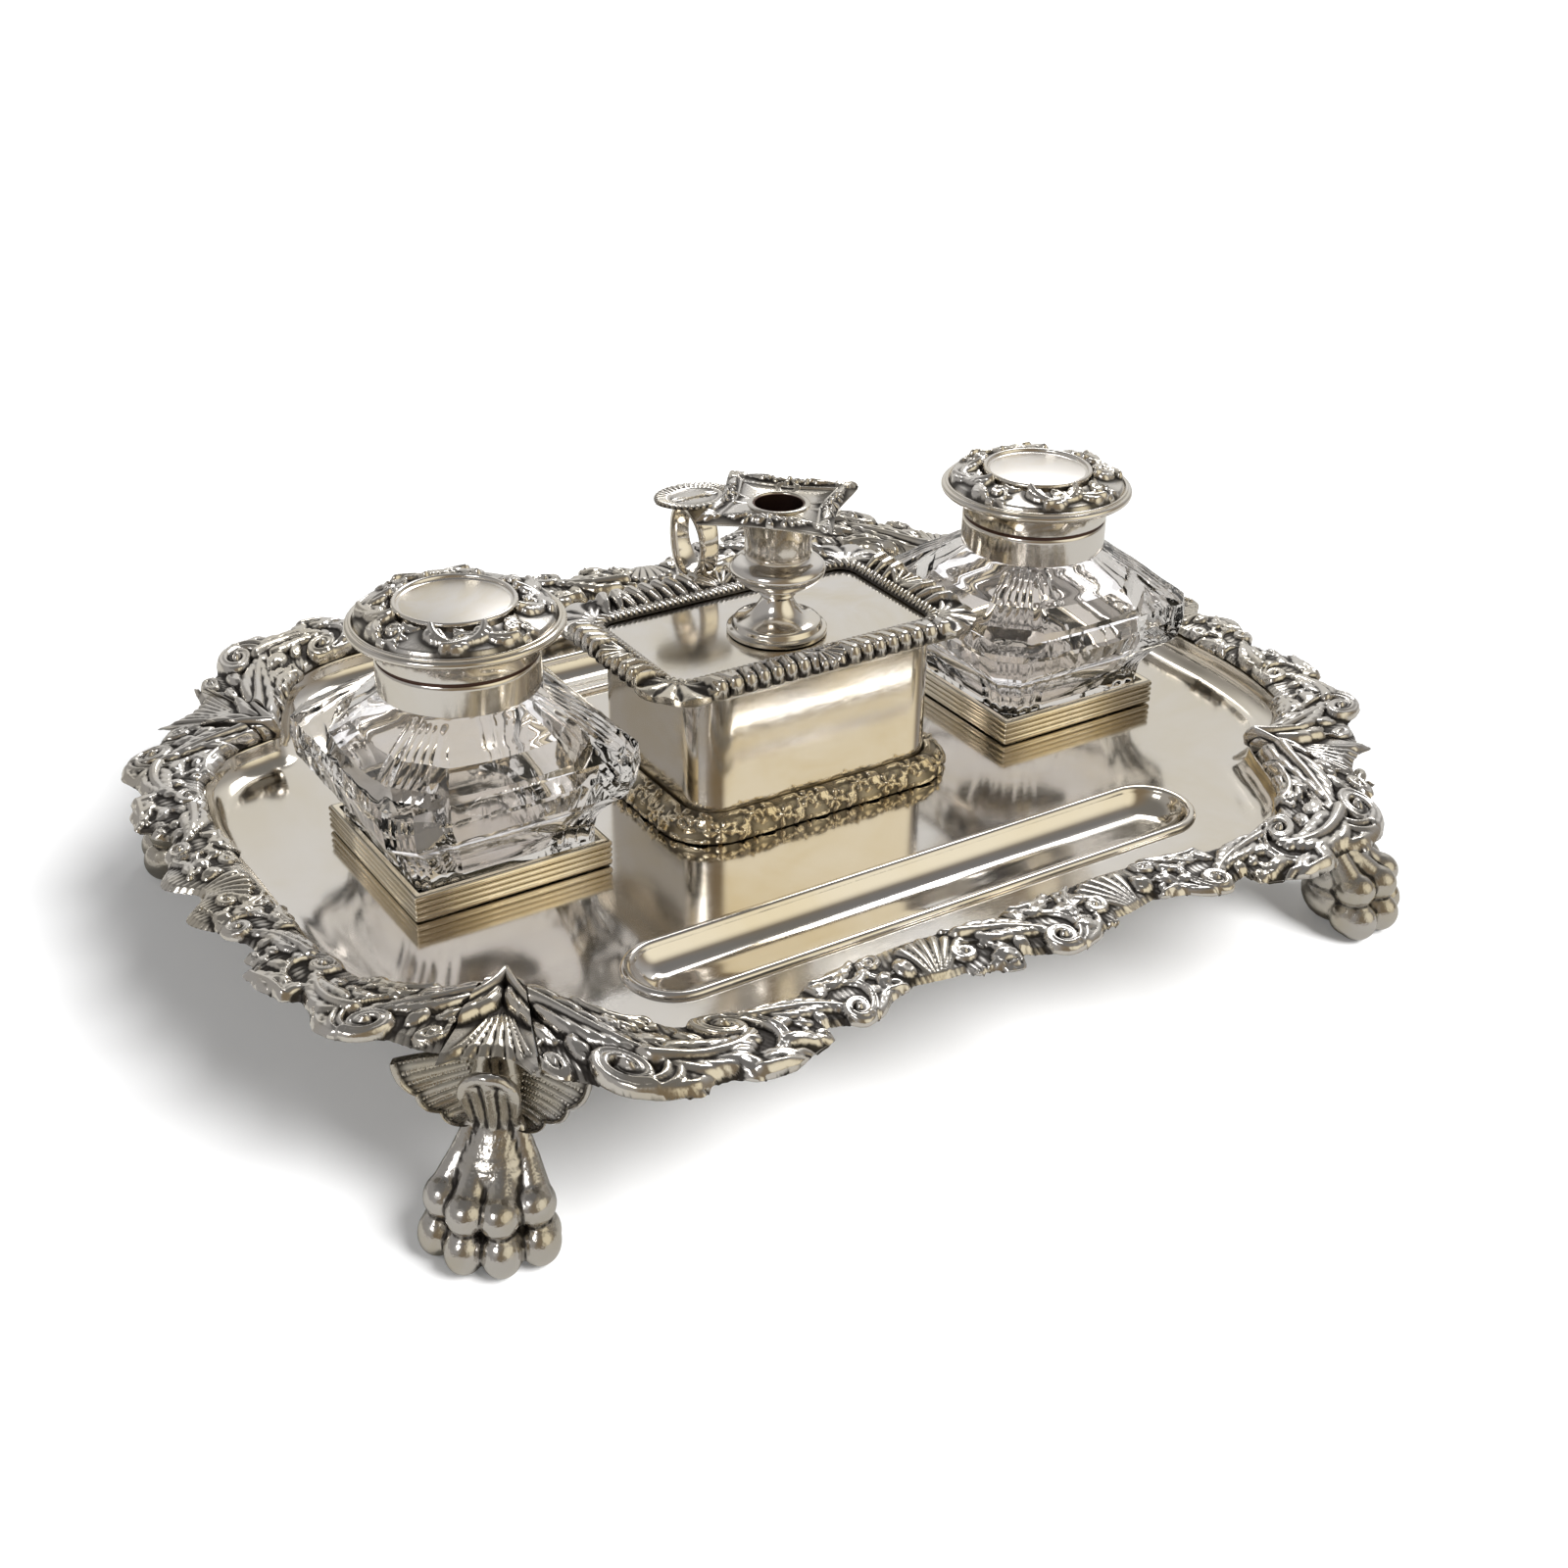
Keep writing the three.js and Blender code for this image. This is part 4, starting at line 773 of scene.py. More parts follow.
class Run:
    """A stretch of the tray border, as a relief strip between its rim and its edge."""

    def __init__(self, start, end):
        fine = np.linspace(start, end, 400)
        middle = (on_line(RIM, fine) + on_line(EDGE, fine)) / 2
        steps = np.concatenate([[0], np.cumsum(np.linalg.norm(np.diff(middle, axis=0), axis=1))])
        self.relief = Relief(steps[-1], *STRIP)
        self.stations = np.interp(self.relief.s, steps, fine)
        self.rim, self.edge = on_line(RIM, self.stations), on_line(EDGE, self.stations)
        way = self.edge - self.rim
        self.width = np.linalg.norm(way, axis=1)
        self.out = way / self.width[:, None]

    def at(self, share):
        """Length along the run and width there, at a share of the run."""
        place = share * self.relief.length
        return place, float(np.interp(place, self.relief.s, self.width))

    def place(self, columns, t, height):
        """Points on the tray, kept inside the bounds of the solids."""
        flat = self.rim[columns[:, 0], None] + self.out[columns[:, 0], None] * t[..., None]
        points = np.concatenate([flat, (FLOOR + RIM_RISE + SEAM + height)[..., None]], -1)
        return np.clip(points, LOW, HIGH)

    def cast(self, name, node_name, ground, swell, across, under=4.0, over=3.2):
        """Cuts the strip along its carving, at most under short of its edge or over past it."""
        relief = self.relief
        carved = relief.height > CARVED
        far = np.where(carved, relief.t[None, :], relief.t[0]).max(1)
        near = np.where(carved, relief.t[None, :], relief.t[-1]).min(1)
        outer = np.clip(np.maximum(far, self.width - under), None, self.width + over)
        inner = np.clip(np.minimum(near, 0.4), -2.6, None)
        for _ in range(9):
            outer = np.convolve(np.pad(outer, 1, mode="edge"), (0.25, 0.5, 0.25), "valid")
            inner = np.convolve(np.pad(inner, 1, mode="edge"), (0.25, 0.5, 0.25), "valid")
        piece = Piece(name)

        def bare(share):
            edge = np.minimum(1, np.minimum(share, 1 - share) * 9 + 0.25)
            return ground * edge + swell * np.sin(math.pi * share)

        cast(piece, relief, inner, outer, self.place, across, bare,
             [(0.985, 0.75), (0.7, 0.2), (0.36, 0.0), (0.02, 0.0)])
        seat(piece.make(finish("cast silver"), 60), "tray", "cast_silver", node_name)


def dress_run(run, units):
    """Fills a run, mirrored about its middle, with scrolls, leaves, shells and beads."""
    relief, pitch = run.relief, run.relief.length / units
    across = relief.t[None, :] / run.width[:, None]
    strands = np.sin(relief.s[:, None] * 1.9 + 2.0 * np.sin(relief.s[:, None] * 0.23)
                     + 3.0 * np.sin(across * 3.7))
    inside = (across > 0.02) & (across < 0.94)
    relief.height = np.maximum(relief.height, 0.25 * np.sqrt(np.abs(strands)) * inside)
    for k in range(units):
        middle, wide = run.at((k + 0.5) / units)
        rank = min(k, units - 1 - k)
        hand = 1 if k < units / 2 else -1
        flip = 1 if rank % 2 == 0 else -1

        def at(along, share):
            return middle + hand * along * pitch, (0.5 + flip * (share - 0.5)) * wide

        def way(turn):
            return for_hand(flip * turn, hand)

        def leaf(along, share, size, turn, hook, lobes, bend, plump=0.085, side=0):
            relief.leaf(*at(along, share), size * wide, way(turn), hook * hand * flip,
                        lobes, bend, plump, side)

        def scroll(along, share, size, turn, hook, lobes):
            relief.scroll(*at(along, share), size * wide, way(turn), hook * hand * flip,
                          3.5, lobes, 0.22)

        if rank % 4 == 3:
            relief.shell(*at(0, 0.04), wide * 0.92, way(RIGHT - 0.2), 6, 0.95, 0.5)
            scroll(-0.38, 0.72, 0.25, -0.3, -1, 3)
            scroll(0.40, 0.35, 0.25, -1.0, 1, 3)
            leaf(0.3, 0.92, 0.6, -0.5, -1, 4, 1.4)
            leaf(-0.3, 0.2, 0.55, 2.6, 1, 4, 1.2)
        else:
            leaf(-0.62, 0.24, 1.05, 0.05, 1, 6, 0.75, 0.09)
            scroll(0.10, 0.60, 0.36, -2.3, 1, 5)
            scroll(-0.30, 0.82, 0.2, -0.4, -1, 3)
            leaf(0.02, 0.04, 0.7, 0.3, -1, 4, 1.1, 0.1)
            leaf(0.28, 0.96, 0.55, -0.2, -1, 4, 1.1, 0.1, 1)
        for j in range(3):
            relief.bead(*at(0.33 + 0.06 * j, 0.06 + 0.035 * j), wide * (0.05 - 0.006 * j), 1.3)


def dress_fan(fan, volute):
    """Fills a corner with a fluted palmette that has leaves and a volute on either side."""
    relief, middle, wide = fan.relief, fan.relief.length / 2, float(fan.width.max())
    relief.shell(middle, wide * 0.2, wide * 0.72, RIGHT, 7, 0.6, 0.42)
    for side in (-1, 1):
        relief.scroll(middle + side * 12.5, wide * 0.84, volute, for_hand(2.4, side), -side,
                      3.6, 4, 0.24)
        for along, across, size, turn, lobes, bend, plump in (
                (0.8, 0.02, 0.95, 0.9, 7, -0.7, 0.085), (11.0, 0.1, 0.75, 0.5, 5, 0.5, 0.09),
                (14.5, 0.7, 0.45, 0.2, 4, 0.8, 0.11)):
            relief.leaf(middle + side * along, wide * across, wide * size,
                        for_hand(turn, side), side, lobes, bend, plump)


class INKSTAND_OT_borders(Dresser, bpy.types.Operator):
    """Make the four runs of scroll border and the four corner palmettes"""
    bl_idname = "inkstand.borders"
    bl_label = "Tray border"

    def execute(self, context):
        ground, swell = self.sizes.border_ground / MM, self.sizes.border_swell / MM
        for k, (name, corner) in enumerate(SIDES):
            even = k % 2 == 0
            start = k * QUARTER + (FAN_FROM if even else QUARTER - FAN_TO)
            end = start + FAN_TO - FAN_FROM
            fan = Run(start, end)
            dress_fan(fan, self.sizes.volute / MM)
            fan.cast("corner-palmette-" + corner, "corner_fan_" + corner, ground, swell,
                     70, 0.8, 0.8)
            run_end = (k + 1) * QUARTER + (QUARTER - FAN_TO if even else FAN_FROM)
            run = Run(end + RUN_GAP, run_end - RUN_GAP)
            dress_run(run, LONG_UNITS if even else SHORT_UNITS)
            run.cast("scroll-border-" + name, "border_" + name, ground, swell, 64)
        return {"FINISHED"}


# ---- Paw feet ----

def remeshed(shapes, voxel, name):
    """One closed mesh round many overlapping ones; gives points, triangles or quads."""
    working = bmesh.new()
    for centre, radii in shapes:
        placed = Matrix.Translation(centre) @ Matrix.Diagonal((*radii, 1))
        bmesh.ops.create_icosphere(working, subdivisions=3, radius=1, matrix=placed)
    rough = bpy.data.meshes.new(name)
    working.to_mesh(rough)
    working.free()
    carrier = bpy.data.objects.new(name, rough)
    bpy.context.scene.collection.objects.link(carrier)
    change = carrier.modifiers.new("remesh", "REMESH")
    change.mode = "VOXEL"
    change.voxel_size = voxel
    smooth = carrier.modifiers.new("smooth", "SMOOTH")
    smooth.factor = 0.5
    smooth.iterations = 4
    graph = bpy.context.evaluated_depsgraph_get()
    mesh = bpy.data.meshes.new_from_object(carrier.evaluated_get(graph))
    points = np.empty(len(mesh.vertices) * 3)
    mesh.vertices.foreach_get("co", points)
    normals = np.empty(len(mesh.vertices) * 3)
    mesh.vertices.foreach_get("normal", normals)
    edges = np.empty(len(mesh.edges) * 2, np.int32)
    mesh.edges.foreach_get("vertices", edges)
    quads = np.asarray([tuple(p.vertices) for p in mesh.polygons if len(p.vertices) == 4])
    bpy.data.objects.remove(carrier)
    bpy.data.meshes.remove(mesh)
    bpy.data.meshes.remove(rough)
    return points.reshape(-1, 3), normals.reshape(-1, 3), edges.reshape(-1, 2), quads


def creases(points, normals, edges, rounds=5):
    """How deep each point lies in a crease of the surface, from 0 to 1."""
    count = np.bincount(edges.ravel(), minlength=len(points))[:, None]
    around = points.copy()
    for _ in range(rounds):
        total = np.zeros_like(points)
        np.add.at(total, edges[:, 0], around[edges[:, 1]])
        np.add.at(total, edges[:, 1], around[edges[:, 0]])
        around = total / count
    return np.clip(np.einsum("ij,ij->i", around - points, normals) * 5.0 + 0.12, 0, 1)


PAW_WIDE = 16.0
LEG_BACK = 10.1
PAW_SPOT = (140.0, 103.0)
PAW_HEADING = (6.5, 7.7)
WING = 24.0
# (height, half width, half depth, lean) of the leg
LEG = np.array(((17, 11.0, 9.0, -0.12), (22, 9.3, 7.8, -0.32), (26, 7.5, 6.4, -0.6),
                (30, 6.0, 5.2, -0.85), (36, 5.8, 4.6, -1), (42, 6.4, 4.2, -1),
                (45, 5.6, 3.4, -1), (50, 5.2, 3.0, -1)))


def rod(shapes, start, end, radii, count=9):
    """Row of balls that swell or shrink from one place to another."""
    for share in np.linspace(0, 1, count):
        spot = [a + (b - a) * share for a, b in zip(start, end)]
        size = radii[0] + (radii[1] - radii[0]) * share
        shapes.append((spot, (size, size, size)))


def paw_shapes():
    """Balls of one paw, which points along +X with its leg behind."""
    shapes = [((-2.6, 0, 9.4), (11.0, 13.0, 9.4)), ((-3.4, 0, 16.5), (9.8, 11.6, 8.8))]
    for along, across in ((0.60, 0.275), (0.25, 0.76)):
        for side in (-1, 1):
            x, y = along * PAW_WIDE, side * across * PAW_WIDE
            shapes.append(((x, y, 6.0), (5.9, 5.0, 6.0)))
            shapes.append(((x - 2.4, y * 0.96, 6.8), (5.9, 4.9, 5.9)))
            x, y = x - 1.9, y * 0.88
            shapes.append(((x, y, 15.4), (6.0, 5.1, 5.3)))
            rod(shapes, (x - 1.2, y * 0.97, 16.4), (x * 0.4 - LEG_BACK * 0.5, y * 0.72, 23.5),
                (4.4, 3.1), 9)
            rod(shapes, (x * 0.4 - LEG_BACK * 0.5, y * 0.72, 23.5),
                (3.2 - LEG_BACK, y * 0.5, 31.5), (3.1, 1.8), 9)
    for z in np.linspace(17, 50, 20):
        wide, deep, back = (np.interp(z, LEG[:, 0], LEG[:, k]) for k in (1, 2, 3))
        shapes.append(((back * LEG_BACK, 0, z), (deep, wide, 3.2)))
    return shapes


def leg_flutes():
    """Fluted leaf that climbs the front of the leg and rolls over at its top."""
    shapes = []
    for k in range(3):
        spread = k - 1
        top = 45.4 - 1.6 * spread ** 2
        for share in np.linspace(0, 1, 22):
            x = -LEG_BACK + 5.4 + 2.6 * share ** 1.5 - 0.9 * spread ** 2
            y = spread * (2.3 + 1.5 * share ** 1.2)
            size = 0.95 + 0.75 * share
            shapes.append(((x, y, 29.5 + (top - 29.5) * share), (size * 1.25, size, 1.3)))
    for share in np.linspace(-1, 1, 61):
        turn = min(1, abs(share) / 0.6) * math.copysign(RIGHT, share)
        fall = max(0, (abs(share) - 0.6) / 0.4)
        size = 1.75 - 0.8 * fall
        spot = (-LEG_BACK + 8.6 - 3.4 * fall - 0.9 * abs(math.sin(turn)),
                (6.3 - 1.2 * fall) * math.sin(turn), 41.5 + 5.6 * math.cos(turn) - 10.5 * fall)
        shapes.append((spot, (size, size * 0.8, size * 0.8)))
    return shapes


def wing(side):
    """Scalloped leaf beside the leg: rings of a closed relief plate in the paw's own frame."""
    relief = Relief(WING, 0.0, WING, step=0.3)
    for k in range(10):
        s = 1.2 + 2.4 * k
        relief.rib([(s, 2.0), (s - 0.5, 12.0), (s, 23.0)], (0.4, 0.5, 0.6), 0.2)
        for step in np.linspace(3, 22.5, 18):
            relief.bead(s + 1.2, step, 0.4, 1.3)
    relief.rib([(0, WING - 0.8), (WING, WING - 0.8)], 0.9, 0.9)
    t, rise, dark = relief.face(WING, 60)
    share, height = t / WING, relief.s / relief.length
    knots = (0, 0.33, 0.66, 1)
    bulge = 1.9 * np.abs(np.sin(height * math.pi * 3)) ** 0.7
    far = np.stack([np.interp(height, knots, (3.5, 10.0, 15.5, 21.0)) + 0.6 * bulge,
                    np.interp(height, knots, (31.0, 34.0, 38.0, 46.5)) - 0.8 * bulge], -1)
    near = np.stack([np.full_like(height, 2.0), 29 + 19.4 * height], -1)
    flat = near[:, None] + (far - near)[:, None] * share[..., None]
    curl = 4.2 * share ** 2
    y, z = side * (2.5 + flat[..., 0]), flat[..., 1]
    front = np.stack([-LEG_BACK + 1.2 + curl + rise, y, z], -1)
    back = np.stack([-LEG_BACK - 0.8 + curl, y, z], -1)[:, ::-1]
    return (np.concatenate([front, back], 1),
            np.concatenate([dark + 0.12, np.full_like(dark, 0.4)], 1))


class INKSTAND_OT_feet(Dresser, bpy.types.Operator):
    """Make the four paw feet with their fluted legs and spread leaves"""
    bl_idname = "inkstand.feet"
    bl_label = "Paw feet"

    def execute(self, context):
        voxel = self.sizes.paw_detail / MM * 1
        points, normals, edges, quads = remeshed(paw_shapes() + leg_flutes(), voxel, "paw")
        fur = np.sin(points[:, 1] * 5.2 + points[:, 0] * 2.0 + np.sin(points[:, 2] * 0.9) * 1.5)
        high = np.clip((points[:, 2] - 25) / 3, 0, 1) * np.clip((32 - points[:, 2]) / 3, 0, 1)
        points = points + normals * (fur * (0.01 + 0.07 * high))[:, None]
        dark = creases(points, normals, edges)
        points[:, 2] = np.clip(points[:, 2], 0.0, FLOOR + RIM_RISE)
        leaves = [wing(side) for side in (-1, 1)]
        for name, end, side in (("front_left", -1, -1), ("front_right", 1, -1),
                                ("back_left", -1, 1), ("back_right", 1, 1)):
            angle = math.atan2(side * PAW_HEADING[1], end * PAW_HEADING[0])
            c, n = math.cos(angle), math.sin(angle)
            spin = np.array([[c, n, 0], [-n, c, 0], [0, 0, 1]])
            centre = np.array((end * PAW_SPOT[0], side * PAW_SPOT[1], 0))
            piece = Piece("paw-foot-" + name)
            piece.shell(points @ spin + centre, [quads], dark)
            for rings, shade in leaves:
                piece.loft(rings @ spin + centre, hollow=shade)
            seat(piece.make(finish("paw silver"), 70), "tray", "cast_silver", "paw_foot_" + name)
        return {"FINISHED"}


# ---- Galleries and bottles ----

PLACES = (("left", -95.0), ("right", 95.0))
GALLERY_HALF = 57.0 / 2 - 0.7
REEDS, REED_BULGE = (2.2, 1.6, 1.6, 2.0), 0.85


class INKSTAND_OT_galleries(Dresser, bpy.types.Operator):
    """Make the two square reeded galleries that hold the bottles"""
    bl_idname = "inkstand.galleries"
    bl_label = "Galleries"

    def execute(self, context):
        for name, middle in PLACES:
            low, high = (corner[2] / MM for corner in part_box("gallery_" + name))
            section, dark, z = [(-1.4, low), (0, low)], [0.2, 0.6], low
            for size in REEDS:
                size *= (high - low) / sum(REEDS)
                for angle in np.linspace(0.12, math.pi - 0.12, 9):
                    section.append((REED_BULGE * math.sin(angle),
                                    z + size * (1 - math.cos(angle)) / 2))
                    dark.append(0.95 * (1 - math.sin(angle)) ** 1.4)
                z += size
            section += [(0, high), (-0.5, high), (-1.4, high - 0.15)]
            dark += [0.5, 0.1, 0.1]
            rings = []
            for cx, cy in ((1, 1), (-1, 1), (-1, -1), (1, -1)):
                for turn in (-1, 1):
                    ring = []
                    for out, height in section:
                        full, short = GALLERY_HALF + out, GALLERY_HALF + out - 0.35
                        x, y = (full, short) if turn * cx * cy < 0 else (short, full)
                        ring.append((middle + cx * x, cy * y, height))
                    rings.append(ring)
            piece = Piece("reeded-gallery-" + name)
            piece.loft(rings, closed=True, hollow=[dark] * len(rings))
            seat(piece.make(finish("reeded silver"), 50), "tray", "polished_silver",
                 "gallery_" + name)
        return {"FINISHED"}


# (height, half width, cut corner, roundness) of the glass, and of the well inside it
BOTTLE = np.array((
    (0, 25.9, 3, 0), (8, 26.2, 3, 0), (9, 26.6, 3, 0), (14, 28.2, 4, 0), (20, 31.6, 5, 0),
    (23.4, 34.6, 6, 0), (25, 35.8, 6, 0), (31, 36.8, 6, 0), (36, 36.2, 6, 0),
    (37.5, 34.6, 7, 0), (44, 28.6, 7, 0.25), (49, 22.4, 6, 0.8), (50.4, 20.4, 5, 1),
    (51.4, 20, 5, 1), (58.2, 20, 5, 1)))
WELL = ((57.9, 15.6, 1), (57.4, 15, 1), (50, 15, 1), (46.5, 15.4, 1), (43, 19.0, 0.7),
        (38, 24.5, 0.35), (32, 28.2, 0.25), (27, 28.0, 0.25), (16, 24.0, 0.25),
        (8, 20.2, 0.3), (6.4, 18.4, 0.35), (5.8, 15, 0.5))
SKIRT, BELLY, SHOULDER = (8.2, 23.4), (24, 36.9), (38, 49)


def within(z, zone):
    """Swell between the ends of a zone, from 0 to 1 and back."""
    return math.sin(math.pi * (z - zone[0]) / (zone[1] - zone[0]))


def square_ring(half, chamfer, roundness, height, angles, cut=0.0):
    """Ring that goes from a square with cut corners, at roundness 0, to a circle."""
    c, n = np.abs(np.cos(angles)), np.abs(np.sin(angles))
    radius = np.minimum(half / np.maximum(c, n), (2 * half - chamfer) / (c + n))
    radius = radius * (1 - roundness) + half * roundness - cut
    return np.stack([radius * np.cos(angles), radius * np.sin(angles),
                     np.full_like(angles, height)], -1)


class INKSTAND_OT_bottles(Dresser, bpy.types.Operator):
    """Make the two cut-glass bottles with window-cut sides and facetted shoulders"""
    bl_idname = "inkstand.bottles"
    bl_label = "Glass bottles"

    def execute(self, context):
        depth = self.sizes.glass_cut / MM
        angles = np.arange(360) * TAU / 360
        face = np.mod(angles + RIGHT / 2, RIGHT) - RIGHT / 2
        spread = np.tan(face)
        base = FLOOR + SEAM

        def windows(count, share):
            place = np.abs(np.mod(spread / 0.8 * count / 2 + count / 2, 1) * 2 - 1)
            return depth * share * (1 - place ** 2) * (np.abs(spread) < 0.8)

        def mitres(share, reach):
            away = np.clip((np.abs(spread) - reach) / (1 - reach), 0, 1)
            comb = np.abs(np.mod(away * 3, 1) * 2 - 1)
            return depth * share * (0.35 + 0.65 * (1 - comb ** 2)) * (away > 0)

        rings = []
        for z in np.concatenate([
                [0, 0.6, 1.2, 7.6, 8.2], np.linspace(9, 23, 20), [23.4, 24.2, 25],
                np.linspace(26, 35, 12), [36, 36.8, 37.5], np.linspace(38, 50, 24),
                [50.6, 51.4, 54, 57.6, 58.2]]):
            half, chamfer, roundness = (np.interp(z, BOTTLE[:, 0], BOTTLE[:, k])
                                        for k in (1, 2, 3))
            cut = np.zeros_like(angles)
            if SKIRT[0] < z < SKIRT[1]:
                lower = within(z, SKIRT) ** 0.6
                cut = cut + 0.9 * depth * lower + mitres(lower * 1.1, 0.55)
            if BELLY[0] < z < BELLY[1]:
                cut = cut + windows(6, 0.45 * within(z, BELLY) ** 0.3)
                cut = cut + mitres(0.3 * within(z, BELLY) ** 0.5, 0.8)
            if SHOULDER[0] < z < SHOULDER[1]:
                cut = cut + mitres(within(z, SHOULDER) ** 0.6 * 0.9, 0.62)
            inset = 0.5 * (1 - min(1, z / 0.6)) + (0.6 if z > 57.9 else 0)
            rings.append(square_ring(half - inset, chamfer, roundness,
                                     base + z - (0.3 if z > 57 else 0), angles, cut))
        for z, half, roundness in WELL:
            rings.append(square_ring(half, half * 0.35, roundness, base + z, angles))
        rings = np.asarray(rings)
        for name, x in PLACES:
            piece = Piece("cut-glass-bottle-" + name)
            piece.loft(rings + (x, 0, 0))
            seat(piece.make(finish("cut glass"), 14), "inkwell_" + name, "bottle_glass",
                 "glass_bottle_" + name)
        return {"FINISHED"}


HINGE_Y = 23.8
HINGE_Z = FLOOR + 59.35
KNUCKLE, KNUCKLE_LONG = 1.9, 4.0
COLLAR_LOW, COLLAR_HIGH = FLOOR + 50.3, FLOOR + 58.8


def barrel(piece, centre):
    """Hinge knuckle along X, with softened ends."""
    angles = np.arange(32) * TAU / 32
    rings = []
    for share, size in ((-0.5, 0.62), (-0.5, 0.9), (-0.44, 1), (0.44, 1), (0.5, 0.9), (0.5, 0.62)):
        rings.append(np.stack([np.full(32, centre[0] + share * KNUCKLE_LONG),
                               centre[1] + KNUCKLE * size * np.cos(angles),
                               centre[2] + KNUCKLE * size * np.sin(angles)], -1))
    piece.loft(rings)


def web(piece, centre, low, high, near=21.0):
    """Small plate that ties a knuckle to its wall."""
    piece.loft([[(x, near, low), (x, centre[1], low), (x, centre[1], high), (x, near, high)]
                for x in (centre[0] - 1.95, centre[0] + 1.95)])


class INKSTAND_OT_collars(Dresser, bpy.types.Operator):
    """Make the plain neck collars with their outer hinge knuckles"""
    bl_idname = "inkstand.collars"
    bl_label = "Neck collars"

    def execute(self, context):
        low, high = COLLAR_LOW, COLLAR_HIGH
        for name, x in PLACES:
            piece = Piece("neck-collar-" + name)
            piece.turned([(20.3, low), (21.3, low), (21.6, low + 0.3), (21.6, low + 0.5),
                          (21.6, high - 1.2), (21.6, high - 0.4), (21.3, high), (20.6, high),
                          (20.3, high - 0.3)], (x, 0), 128)
            for end in (-1, 1):
                centre = (x + end * (KNUCKLE_LONG + 0.3), HINGE_Y, HINGE_Z)
                barrel(piece, centre)
                web(piece, centre, HINGE_Z - KNUCKLE, high)
            seat(piece.make(finish("plain silver"), 40), "inkwell_" + name, "polished_silver",
                 "neck_collar_" + name)
            # A near-black ring just inside the collar's top edge, painted shadow for the gap line
            # between the collar and its lid
            lip = Piece("collar-lip-" + name)
            lip.turned([(20.1, high - 0.9), (20.9, high - 0.9), (20.9, high + 0.8),
                        (20.1, high + 0.8), (20.1, high - 0.8)], (x, 0), 96)
            seat(lip.make(finish("painted shade lining"), 40), "inkwell_" + name, "polished_silver")
        return {"FINISHED"}


LID_LOW = FLOOR + 59.7
LID_RIM = LID_LOW + 7.0
LID_TOP = LID_RIM + 6.2
LEAF_BAND, LEAF_REPEATS = 10.2, 8


def lid_profile():
    """(radius, height) of a lid: wall, beaded rim, dome and flat, then its inside."""
    low, rim, high = LID_LOW, LID_RIM, LID_TOP
    profile = [(20.3, low), (21.3, low), (21.6, low + 0.3), (21.6, rim - 1.4),
               (21.9, rim - 1.0), (24.6, rim - 0.7), (26.0, rim - 0.3)]
    profile += arc_points((27.2, rim + 1.0), (1.3, 1.15), np.linspace(-1.3, 1.5, 9))
    profile += arc_points((26.8, rim + 2.3), (0.6, 0.55), np.linspace(-0.4, 2.6, 7))
    profile += [(26.1, rim + 2.2), (25.6, rim + 2.2), (16.4, rim + 4.6), (16.3, rim + 6.4)]
    profile += arc_points((15.6, rim + 6.5), (0.75, 0.9), np.linspace(0, math.pi, 9))
    return profile + [(14.4, rim + 6.25), (13.0, high), (11.0, high), (0.05, high),
                      (0.05, rim + 2.4), (18.0, rim + 2.2), (20.3, rim)]


def lid_leaves():
    """Leaves and scrolls round a lid."""
    relief = Relief(TAU * 20.5, 0, LEAF_BAND, wrap=True, step=0.26)
    pitch = relief.length / LEAF_REPEATS
    for k in range(LEAF_REPEATS):
        s, hand = k * pitch, 1 if k % 2 else -1
        relief.leaf(s, 0.8, 9.2, RIGHT - 0.5 * hand, -hand, 5, 0.9, 0.14)
        relief.scroll(s + pitch * (0.5 + 0.1 * hand), 6.2, 3.0, 2.0, hand, 3.5, 4, 0.32)
        relief.leaf(s + pitch * 0.3, 8.6, 8.5, for_hand(-0.35, hand), -hand, 5, 0.8, 0.13)
        relief.leaf(s + pitch * 0.45, 1.6, 5.5, 0.3, hand, 4, 1.0, 0.12)
    return relief


class INKSTAND_OT_lids(Dresser, bpy.types.Operator):
    """Make the two domed lids with their double-beaded rim, leaf relief and flat disc"""
    bl_idname = "inkstand.lids"
    bl_label = "Hinged lids"

    def execute(self, context):
        rim, high = LID_RIM, LID_TOP
        ground = self.sizes.lid_relief / MM
        profile, relief = lid_profile(), lid_leaves()
        count = len(relief.s)
        for name, x in PLACES:
            piece = Piece("lid-shell-" + name)
            piece.turned(profile, (x, 0), 128)
            disc = Piece("lid-disc-" + name)
            disc.turned([(14.3, rim + 6.22), (14.0, rim + 6.32), (0, rim + 6.34), (0, rim + 6.0),
                         (14.2, rim + 6.0)], (x, 0), 96)
            seat(disc.make(finish("satin silver"), 40), "lid_" + name, "polished_silver")
            piece.turned([(0, rim + 6.21), (0.4, high), (0.4, rim + 2.5), (0, rim + 2.45)],
                         (x, 0), 16)
            centre = (x, HINGE_Y, HINGE_Z)
            barrel(piece, centre)
            web(piece, centre, LID_LOW, HINGE_Z + KNUCKLE)
            seat(piece.make(finish("plain silver"), 40), "lid_" + name, "polished_silver",
                 "lid_shell_" + name)

            def place(columns, t, height):
                angle = relief.s[columns] / relief.length * TAU
                radius = 16.5 + t * 0.95
                drop = rim + 4.75 - 2.35 * (t / LEAF_BAND)
                return np.stack([x + radius * np.cos(angle), radius * np.sin(angle),
                                 drop + height * 1.35], -1)

            leaves = Piece("lid-relief-" + name)
            cast(leaves, relief, np.zeros(count), np.full(count, LEAF_BAND), place, 34,
                 lambda share: ground * np.minimum(1, np.minimum(share, 1 - share) * 12),
                 [(0.99, -0.3), (0.5, -0.25), (0.01, -0.3)])
            seat(leaves.make(finish("lid silver"), 60), "lid_" + name, "cast_silver",
                 "lid_relief_" + name)
        return {"FINISHED"}


# ---- Covered box ----

